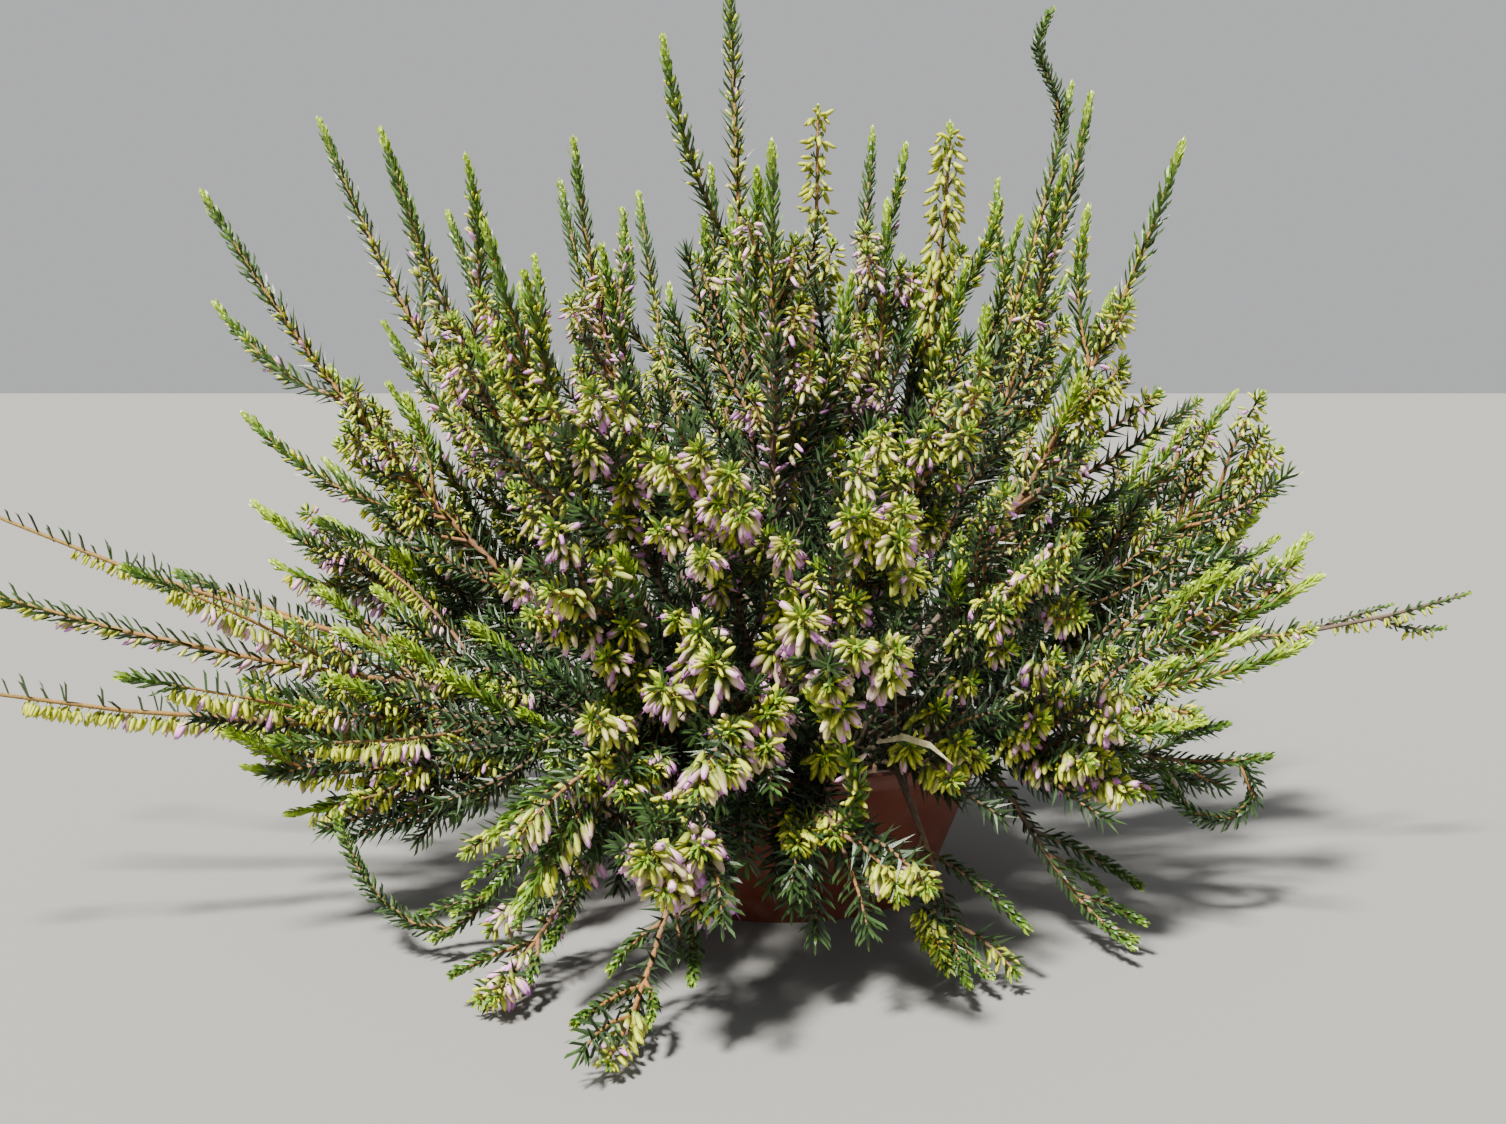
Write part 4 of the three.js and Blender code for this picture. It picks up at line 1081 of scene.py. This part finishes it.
# How each kind of stem grows: the gap between its whorls at the tip and lower down, and the length over
# which it widens, in metres; then, at each of these ages (metres back from the tip), how far its needles
# spread in degrees, their length in millimetres and their freshness; and how far back they are seen.
NEEDLE_AGES = (0.0, 0.004, 0.014, 0.032, 0.070, 0.150)
NEEDLE_GROWTH = {
    "leader": dict(gaps=(0.0013, 0.0044, 0.080), spreads=(12, 15, 22, 31, 42, 56),
        lengths=(4.8, 6.0, 7.2, 8.4, 9.4, 9.6), fresh=(1.0, 0.82, 0.50, 0.36, 0.20, 0.06), seen=0.048),
    "arching": dict(gaps=(0.0013, 0.0034, 0.060), spreads=(12, 16, 24, 34, 46, 56),
        lengths=(4.8, 6.0, 7.2, 8.2, 9.0, 9.4), fresh=(1.0, 0.80, 0.50, 0.34, 0.18, 0.06), seen=0.060),
    "budded": dict(gaps=(0.0013, 0.0036, 0.080), spreads=(12, 15, 19, 25, 34, 50),
        lengths=(4.8, 6.0, 7.0, 7.6, 8.4, 9.0), fresh=(1.0, 0.78, 0.50, 0.36, 0.22, 0.06), seen=0.300),
    "hanging": dict(gaps=(0.0015, 0.0052, 0.050), spreads=(14, 24, 34, 44, 54, 60),
        lengths=(5.0, 6.5, 7.5, 8.5, 9.5, 9.6), fresh=(0.9, 0.5, 0.34, 0.24, 0.12, 0.05), seen=0.300),
    "raceme": dict(gaps=(0.0015, 0.0031, 0.016), spreads=(20, 50, 58, 60, 62, 64),
        lengths=(3.0, 7.0, 8.2, 8.8, 9.2, 9.4), fresh=(0.95, 0.30, 0.14, 0.10, 0.06, 0.04), seen=0.009),
    "fresh": dict(gaps=(0.0012, 0.0024, 0.020), spreads=(18, 24, 28, 34, 42, 50),
        lengths=(5.0, 6.2, 7.4, 8.0, 8.6, 9.0), fresh=(1.0, 0.90, 0.68, 0.52, 0.40, 0.36), seen=0.060),
    "creeping": dict(gaps=(0.0013, 0.0030, 0.050), spreads=(20, 26, 32, 38, 44, 50),
        lengths=(3.4, 4.4, 5.2, 5.8, 6.4, 6.6), fresh=(0.8, 0.5, 0.32, 0.24, 0.12, 0.05), seen=0.120),
    "dark": dict(gaps=(0.0018, 0.0032, 0.024), spreads=(30, 44, 52, 58, 62, 64),
        lengths=(6.0, 7.6, 8.6, 9.0, 9.2, 9.4), fresh=(0.34, 0.2, 0.12, 0.08, 0.05, 0.04), seen=0.024),
    "inner": dict(gaps=(0.0022, 0.0043, 0.030), spreads=(34, 42, 50, 56, 60, 62),
        lengths=(6.0, 7.4, 8.2, 8.6, 8.8, 9.0), fresh=(0.28, 0.2, 0.12, 0.08, 0.05, 0.04), seen=0.0),
}
NEEDLE_GROWTH["dry"] = dict(NEEDLE_GROWTH["creeping"], gaps=(0.0022, 0.0060, 0.040),
        lengths=(2.0, 3.0, 4.0, 4.4, 4.4, 4.4))
NEEDLE_GROWTH["budding"] = NEEDLE_GROWTH["fresh"]
NEEDLE_GROWTH["tower"] = dict(NEEDLE_GROWTH["leader"], gaps=(0.0016, 0.0070, 0.016),
        spreads=(16, 26, 34, 40, 44, 50))
NEEDLE_GROWTH["knotted"] = dict(NEEDLE_GROWTH["tower"], lengths=(3.0, 3.6, 5.0, 6.0, 7.0, 8.0))
NEEDLE_GROWTH["end"] = dict(NEEDLE_GROWTH["creeping"], gaps=(0.0012, 0.0018, 0.050),
        spreads=(20, 32, 40, 42, 44, 50))

# How flowers stand on a stem: the gap between their nodes, how many stand at a node, how far in degrees
# they go round its underside, their size at the tip and the growth below it, the length of their stalks,
# how far they lean out, how far they droop at the tip and below, how far they point along the stem, how
# far they stray from that, and the share of them that there is.
FLOWERING = {
    "leader": dict(gap=0.0062, node=6, under=None, sizes=(0.52, 0.24), stalk=0.6, out=0.65,
        droop=(0.0, 0.3), on=0.8, stray=0.2, kept=0.9),
    "arching": dict(gap=0.0034, node=5, under=100, sizes=(0.72, 0.26), stalk=0.8, out=0.5, droop=(0.5, 0.9),
        on=0.35, stray=0.16, kept=0.85),
    "budded": dict(gap=0.0068, node=5, under=110, sizes=(0.64, 0.20), stalk=0.4, out=0.5, droop=(0.3, 0.6),
        on=0.8, stray=0.2, kept=0.85),
    "raceme": dict(gap=0.0017, node=4, under=None, sizes=(0.44, 0.44), stalk=0.9, out=0.62,
        droop=(0.2, 1.1), on=0.32, stray=0.12, kept=0.85),
    "tower": dict(gap=0.0033, node=7, under=None, sizes=(0.78, 0.34), stalk=1.0, out=0.5, droop=(0.3, 1.3),
        on=0.05, stray=0.24, kept=0.85),
    "knotted": dict(gap=0.0085, node=12, under=None, sizes=(0.74, 0.22), stalk=0.8, out=0.5,
        droop=(0.3, 0.9), on=0.1, stray=0.3, kept=0.85),
    "hanging": dict(gap=0.0030, node=5, under=65, sizes=(0.70, 0.25), stalk=0.6, out=0.45, droop=(0.8, 0.8),
        on=0.3, stray=0.3, kept=0.85),
    "budding": dict(gap=0.0036, node=4, under=None, sizes=(0.42, 0.25), stalk=0.6, out=0.6,
        droop=(0.1, 0.7), on=0.5, stray=0.2, kept=0.85),
    "dry": dict(gap=0.0040, node=4, under=80, sizes=(0.60, 0.25), stalk=0.3, out=0.4, droop=(0.5, 0.8),
        on=0.3, stray=0.3, kept=0.7),
}


def is_free(curve):
    """Whether a shoot stays off the surface and out of the pot."""
    spots = spots_on(curve, np.linspace(0.1, 1, 10))
    radii = np.linalg.norm(spots[:, :2], axis=1)
    heights = spots[:, 2]
    off_inside, off_outside = SHOOT_OFF_WALL
    in_pot = (radii > crust_edge - off_inside) & (radii < RIM_RADIUS + off_outside)
    in_pot &= heights < POT_HEIGHT + SHOOT_OFF_TOP
    in_soil = (radii < crust_edge) & (heights < COMPOST_TOP + SHOOT_OFF_TOP)
    return not (in_pot | in_soil | (heights < SHOOT_OFF_SURFACE)).any()


def clear_rows(tips, room):
    """Which needles or bells stay above the surface and out of the pot and its compost."""
    radii = np.linalg.norm(tips[:, :2], axis=1)
    heights = tips[:, 2]
    in_pot = (radii > crust_edge - OFF_WALL) & (radii < RIM_RADIUS + OFF_WALL) & (heights < POT_HEIGHT + room)
    in_soil = (radii <= crust_edge) & (heights < COMPOST_TOP + room)
    return ~in_pot & ~in_soil & (heights > OFF_SURFACE + room)


def limb_of(curve, role, habit, bare, flowers, radii):
    """One stem with its role, its flowers' stretch and the way travelled along it."""
    steps = np.linspace(0, 1, LIMB_STEPS + 1)
    spots = spots_on(curve, steps)
    travelled = np.concatenate([[0], np.cumsum(np.linalg.norm(np.diff(spots, axis=0), axis=1))])
    length = travelled[-1]
    if role == "raceme":
        room = habit.get("room", FLOWERS_ROOM) if radii == MAIN_RADII else FLOWERS_ROOM
        flowers = (max(RACEME_FROM, 1 - (RACEME_TIP + room) / length), 1 - RACEME_TIP / length)
    if role not in FLOWERING:
        flowers = None
    return dict(curve=curve, role=role, bare=bare, flowers=flowers, radii=radii, steps=steps,
                travelled=travelled, length=length, size=habit["size"], open=habit["open"],
                youth=habit["youth"], close=habit["kind"] == "head")


def further_shoot(spray, k, main, stretch, lengths, turn, spread, lift):
    """A further shoot, drawn again where it would touch the surface or the pot, and else None."""
    bush_share = min(1, BUSH_RADIUS / length_of(main))
    at = min(LAST_SHOOT_AT, share_of(stretch, k) * bush_share)
    for use in range(1, 10 * SHOOT_TRIES, 10):
        aside = turn + spread * (2 * draw(spray, k, use + 1) - 1)
        reach = lengths[0] + (lengths[1] - lengths[0]) * draw(spray, k, use + 2)
        rise = lift + SHOOT_LIFT_SPREAD * (draw(spray, k, use + 3) - 0.5)
        curve = side_shoot(main, at, aside, reach, rise)
        if is_free(curve):
            return curve
    return None


def limbs_of(spray, name, tip, kind, foot):
    """All stems of a spray: its main stem, its two long side shoots, its further shoots and extra end."""
    habit = {**HABITS[kind], **OWN_WAYS.get(name, {}), "kind": kind}
    main = main_curve(tip, kind, foot)
    limbs = [limb_of(main, habit["role"], habit, habit["bare"], habit["flowers"], MAIN_RADII)]
    limbs[0]["foot"] = foot
    for k in range(2):
        at = share_of(habit["shoots"], k)
        turn = TRAIL_SHOOT_TURNS[k] if kind == "trail" else k * GOLDEN_ANGLE + math.tau * draw(spray, k, 1)
        share = SHOOT_LENGTH_SHARE + SHOOT_LENGTH_SPREAD * draw(spray, k, 2)
        reach = np.clip(length_of(main) * (1 - at) * share, *SHOOT_LENGTHS)
        curve = side_shoot(main, at, turn, reach, habit["lift"])
        role = habit.get("shoots_role", HABITS[kind]["role"])
        limbs.append(limb_of(curve, role, habit, LONG_SHOOT_BARE, SHOOT_FLOWERS, SHOOT_RADII))
    first = 2
    for role, number, *growth in habit["more"] + habit.get("also", []):
        for k in range(first, first + number):
            curve = further_shoot(spray, k, main, *growth)
            if curve is not None:
                limbs.append(limb_of(curve, role, habit, SHOOT_BARE, SHOOT_FLOWERS, SHOOT_RADII))
        first += 20
    if name in EXTRA_ENDS:
        role, *places = EXTRA_ENDS[name]
        curve = np.array([spots_on(main, EXTRA_END_FROM), *map(np.array, places)])
        limbs.append(limb_of(curve, role, habit, 0, EXTRA_END_FLOWERS, EXTRA_END_RADII))
    return limbs


def placed_copies(pattern, roots, sides, tops, ways, widths, lengths, first_tone, random):
    """Copies of a pattern with their tones: the tint is the copy's own, the last is how far along it is."""
    placed, corners, slots = copy_pattern(pattern, roots, sides, tops, ways, widths, lengths)
    tones = np.ones((*placed.shape[:2], 4))
    tones[..., 0] = np.clip(first_tone, 0, 1)[:, None]
    tones[..., 1] = random.random(len(roots))[:, None]
    tones[..., 2] = np.clip(pattern[0][:, 2] / pattern[0][:, 2].max(), 0, 1)[None]
    return placed, corners, slots, tones


def grow_needles(limb, random):
    """The needles of one stem, whorl by whorl from its tip down."""
    role = limb["role"]
    growth = NEEDLE_GROWTH[role]
    tip_gap, old_gap, widening = growth["gaps"]
    backs = [FIRST_WHORL]
    while backs[-1] < limb["length"] * (1 - limb["bare"]):
        backs.append(backs[-1] + tip_gap + (old_gap - tip_gap) * min(1, backs[-1] / widening))
    backs = np.repeat(backs[:-1], WHORL)
    count = len(backs)
    if count == 0:
        return []
    backs = backs + random.normal(0, PLACE_STRAY, count)
    shares = np.interp(limb["length"] - backs, limb["travelled"], limb["steps"])
    spots = spots_on(limb["curve"], shares)
    alongs = headings_on(limb["curve"], shares)
    turns = (np.arange(count) // WHORL) * EIGHTH_TURN + (np.arange(count) % WHORL) * math.tau / WHORL
    outs = out_of(alongs, turns + random.normal(0, NEEDLE_TURN_STRAY, count))
    spread = np.interp(backs, NEEDLE_AGES, growth["spreads"])
    spread = np.radians(spread + random.normal(0, NEEDLE_SPREAD_STRAY, count))
    ways = unit(alongs * np.cos(spread)[:, None] + outs * np.sin(spread)[:, None] + UP * NEEDLE_LIFT)
    lengths = np.interp(backs, NEEDLE_AGES, growth["lengths"])
    lengths = lengths * random.uniform(*NEEDLE_SHORT_AND_LONG, count) / 1000
    keep = np.full(count, True)
    if limb["flowers"] is not None:
        flowering = (shares > limb["flowers"][0]) & (shares < limb["flowers"][1])
        crowded = random.random(count)
        if role == "raceme":
            below, above = RACEME_NEEDLES_KEPT
            kept = crowded < below + above * (outs[:, 2] > RACEME_ABOVE)
            keep = ~flowering | kept | (backs < RACEME_TUFT)
        if role == "arching":
            keep = ~flowering | (outs[:, 2] > ARCHING_BELOW)
        if role == "hanging":
            older = backs > HANGING_OLDER
            keep = ~older | ((outs[:, 2] > 0.0) & (crowded < HANGING_KEPT))
            along, out, up = HANGING_NEEDLE_WAY
            upright = alongs * along + outs * out + UP * up
            upright = unit(upright + random.normal(0, HANGING_STRAY, (count, 3)))
            ways = np.where(older[:, None], upright, ways)
            lengths = np.where(older, lengths * random.uniform(*HANGING_LENGTHS, count), lengths)
    keep &= clear_rows(spots + ways * lengths[:, None], 0.0)
    tops = unit(alongs - ways * (alongs * ways).sum(1)[:, None])
    fresh = np.interp(backs, NEEDLE_AGES, growth["fresh"]) * (1 + limb["youth"])
    fresh = fresh + random.normal(0, FRESHNESS_STRAY, count)
    widths = random.uniform(*NEEDLE_NARROW_AND_WIDE, count)
    hidden = backs > growth["seen"]
    parts = []
    for pattern, on in ((fine_needle, keep & ~hidden), (plain_needle, keep & hidden)):
        if on.any():
            parts.append(placed_copies(pattern, spots[on], np.cross(tops, ways)[on], tops[on], ways[on],
                                       widths[on], lengths[on] / NEEDLE_LENGTH, fresh[on], random))
    return parts


def grow_flowers(limb, random):
    """The buds and bells of one stem, node by node from the tip of their stretch down."""
    if limb["flowers"] is None:
        return []
    habit = FLOWERING[limb["role"]]
    low, high = (np.interp(share, limb["steps"], limb["travelled"]) for share in limb["flowers"])
    places = np.repeat(np.arange(high, low, -habit["gap"]), habit["node"])
    count = len(places)
    if count == 0:
        return []
    numbers = np.arange(count)
    turns = (numbers // habit["node"]) * EIGHTH_TURN + (numbers % habit["node"]) * math.tau / habit["node"]
    turns = turns + random.normal(0, FLOWER_TURN_STRAY, count)
    if habit["under"]:
        turns = -math.pi / 2 + math.radians(habit["under"]) * random.uniform(-1, 1, count)
    places = places + random.normal(0, FLOWER_PLACE_STRAY * habit["gap"] + PLACE_STRAY, count)
    shares = np.interp(places, limb["travelled"], limb["steps"])
    spots = spots_on(limb["curve"], shares)
    alongs = headings_on(limb["curve"], shares)
    outs = out_of(alongs, turns)
    ripeness = np.clip((high - places) / max(high - low, 1e-6), 0, 1)
    least, more = habit["sizes"]
    sizes = limb["size"] * (least + more * ripeness ** 0.5) * random.uniform(*FLOWER_SMALL_AND_LARGE, count)
    stalks = unit(outs + alongs * STALK_ALONG + random.normal(0, STALK_STRAY, (count, 3)))
    droop = habit["droop"][0] + (habit["droop"][1] - habit["droop"][0]) * ripeness
    ways = outs * habit["out"] - UP * droop[:, None] + alongs * habit["on"]
    ways = unit(ways + random.normal(0, habit["stray"], (count, 3)))
    bases = spots + stalks * (STALK_LENGTH * habit["stalk"] * sizes)[:, None]
    keep = clear_rows(bases + ways * (BELL_LENGTH * sizes)[:, None], FLOWER_CLEARANCE)
    keep &= random.random(count) < habit["kept"]
    tops = unit(outs - ways * (outs * ways).sum(1)[:, None] + 1e-9)
    coloured = (random.random(count) < limb["open"]) & (ripeness > COLOURED_FROM)
    sizes = np.where(coloured, COLOURED_GROWTH * sizes, sizes)
    opened = coloured & (random.random(count) < OPENED_SHARE)
    near = (sizes > LARGE_SIZE) & limb["close"]
    ripe = random.random(count)
    coloured_ripe = COLOURED_RIPENESS + (1 - COLOURED_RIPENESS) * ripe
    closed_ripe = np.where(coloured, coloured_ripe, BUD_RIPENESS * ripeness * ripe)
    ripe = np.where(opened, ripe, closed_ripe)
    widths = sizes * random.uniform(*FLOWER_NARROW_AND_WIDE, count)
    small = (sizes < MIDDLE_SIZE) & ~opened
    parts = []
    for pattern, on in ((small_bud, small), (middle_bud, ~opened & ~small & ~near),
                        (large_bud, ~opened & ~small & near), (small_bell, opened & ~near),
                        (open_bell, opened & near)):
        on = on & keep
        if not on.any():
            continue
        part = placed_copies(pattern, bases[on], np.cross(tops, ways)[on], tops[on], ways[on], widths[on],
                             sizes[on], ripe[on], random)
        far_end = pattern[0][:, 2] < -STALK_LENGTH / 2
        hung = bases[on] - ways[on] * (STALK_LENGTH * sizes[on])[:, None]
        part[0][:, far_end] += (spots[on] - hung)[:, None, :]
        parts.append(part)
    return parts


def grow_stems(name, limbs, finish):
    """All stems of a spray: round, tapering tubes along their curves."""
    line = bpy.data.curves.new(name, "CURVE")
    line.dimensions = "3D"
    line.bevel_depth = 1.0
    line.bevel_resolution = 1
    line.use_fill_caps = True
    for limb in limbs:
        spline = line.splines.new("BEZIER")
        a, b, c, d = limb["curve"]
        knots = [(a, a, b), (d, c, d)]
        radii = limb["radii"]
        spline.resolution_u = LONG_SHOOT_STEPS if limb["length"] > LONG_SHOOT else SHORT_SHOOT_STEPS
        if "foot" in limb:
            bottom = np.array([*limb["foot"], COMPOST_TOP - STEM_DEPTH])
            handle = UP * FOOT_HANDLE
            knots = [(bottom, bottom, bottom + handle), (a, a - handle, b), (d, c, d)]
            radii = (radii[0], *radii)
            spline.resolution_u = MAIN_STEM_STEPS
        spline.bezier_points.add(len(knots) - 1)
        for point, (spot, before, after), radius in zip(spline.bezier_points, knots, radii):
            point.handle_left_type = point.handle_right_type = "FREE"
            point.co = spot
            point.handle_left = before
            point.handle_right = after
            point.radius = radius
    stems = bpy.data.objects.new(name, line)
    bpy.context.scene.collection.objects.link(stems)
    stems.data.materials.append(finish)
    choose(stems)
    bpy.ops.object.convert(target="MESH")
    return bpy.context.object


for spray, ((name, tip, kind), foot) in enumerate(zip(SPRAYS, foot_places())):
    random = np.random.default_rng(FIRST_SEED + spray)
    limbs = limbs_of(spray, name, tip, kind, foot)
    parts = [part for limb in limbs for part in grow_needles(limb, random) + grow_flowers(limb, random)]
    stems = grow_stems("stems_" + name, limbs, dry_bark_finish if kind == "dry" else bark_finish)
    piece = join_pieces(mesh_of("shoots_" + name, parts, FINISHES, SMOOTH_SLOTS), [stems])
    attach(piece, "root")
    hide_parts("spray_" + name)


# The dry grass. One thin, narrow, straw-pale blade has blown on to the heads at the right
# of the rim, and two thin dry stalks stand up beside it.
BLADE_PATH = ((0.024, -0.112, 0.074), (0.031, -0.116, 0.0765), (0.038, -0.119, 0.075), (0.044, -0.120, 0.070))
BLADE_HALF_WIDTHS = (0.0005, 0.0011, 0.0010, 0.0002)
BLADE_THINNESS = 0.14
GRASS_STALKS = (((0.034, -0.060, 0.066), (0.032, -0.080, 0.082), (0.037, -0.096, 0.102)),
                ((0.036, -0.062, 0.064), (0.039, -0.082, 0.078), (0.043, -0.096, 0.090)))
GRASS_STALK_RADII = (0.0004, 0.0003, 0.00015)
STRAW_COLOUR = (0.560, 0.550, 0.330, 1)
STRAW_DARK = (0.260, 0.200, 0.100, 1)


def draw_out(name, path, half_widths, sides, turned=(0, 0, 0), squash=(1, 1, 1)):
    """A small face, drawn out from place to place and let in or out at each."""
    start_clean()
    bpy.ops.mesh.primitive_circle_add(vertices=sides, radius=half_widths[0], fill_type="NGON",
                                      location=path[0], rotation=turned)
    piece = bpy.context.object
    piece.name = name
    bpy.ops.object.transform_apply(location=True, rotation=True)
    bpy.ops.object.mode_set(mode="EDIT")
    bpy.ops.mesh.select_mode(type="FACE")
    bpy.ops.mesh.select_all(action="SELECT")
    bpy.ops.transform.resize(value=squash, center_override=path[0])
    for spot, after, width, next_width in zip(path, path[1:], half_widths, half_widths[1:]):
        bpy.ops.mesh.extrude_region_move(TRANSFORM_OT_translate={"value": Vector(after) - Vector(spot)})
        bpy.ops.transform.resize(value=(next_width / width,) * 3, center_override=after)
    bpy.ops.mesh.select_all(action="SELECT")
    bpy.ops.mesh.normals_make_consistent(inside=False)
    leave_edit()
    return piece


straw_finish = two_tone("dry_straw", STRAW_COLOUR, STRAW_DARK, 0.6, 500.0, 2500.0, 0.4)
grass = draw_out("dry_grass", BLADE_PATH, BLADE_HALF_WIDTHS, 6, (0, math.pi / 2, 0), (1, BLADE_THINNESS, 1))
join_pieces(grass, [draw_out("grass_stalk", path, GRASS_STALK_RADII, 5) for path in GRASS_STALKS])
grass.data.materials.append(straw_finish)
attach(grass, "root")


# The setting: a plain pale floor, an even pale sky, one soft-edged sun from the upper left in front,
# and the viewer's place at the photograph's angle.
FLOOR_SIZE = 12.0
FLOOR_COLOUR = (0.205, 0.205, 0.2, 1)
SKY_COLOUR = (0.97, 0.98, 1.0, 1)
SKY_STRENGTH = 0.54
SUN_FROM = (-0.44, -0.66, 1.20)
SUN_STRENGTH = 15.0
SUN_WIDTH = math.radians(8)
SUN_COLOUR = (1.0, 0.96, 0.88)
VIEW_FROM = (-0.0098, -0.540, 0.181)
VIEW_PITCH = math.radians(7.6)
FOCAL_PIXELS = 1600
IMAGE_WIDTH_PIXELS = 1506
SENSOR_WIDTH = 36.0
NEAREST_SEEN = 0.01

start_clean()
bpy.ops.mesh.primitive_plane_add(size=FLOOR_SIZE)
floor = bpy.context.object
floor.name = "floor"
floor_finish, tree, shader = new_finish("pale_floor", 0.9)
shader.inputs["Base Color"].default_value = FLOOR_COLOUR
floor.data.materials.append(floor_finish)

world = bpy.data.worlds.new("studio")
bpy.context.scene.world = world
world.use_nodes = True
sky = world.node_tree.nodes["Background"].inputs
sky["Color"].default_value = SKY_COLOUR
sky["Strength"].default_value = SKY_STRENGTH

sun_data = bpy.data.lights.new("key", "SUN")
sun_data.energy = SUN_STRENGTH
sun_data.angle = SUN_WIDTH
sun_data.color = SUN_COLOUR
sun = bpy.data.objects.new("key", sun_data)
sun.rotation_euler = (-Vector(SUN_FROM)).to_track_quat("-Z", "Y").to_euler()
bpy.context.scene.collection.objects.link(sun)

camera_data = bpy.data.cameras.new("viewer")
camera_data.sensor_width = SENSOR_WIDTH
camera_data.lens = FOCAL_PIXELS / IMAGE_WIDTH_PIXELS * SENSOR_WIDTH
camera_data.clip_start = NEAREST_SEEN
camera = bpy.data.objects.new("viewer", camera_data)
camera.location = VIEW_FROM
camera.rotation_euler = (math.pi / 2 - VIEW_PITCH, 0, 0)
bpy.context.scene.collection.objects.link(camera)
bpy.context.scene.camera = camera
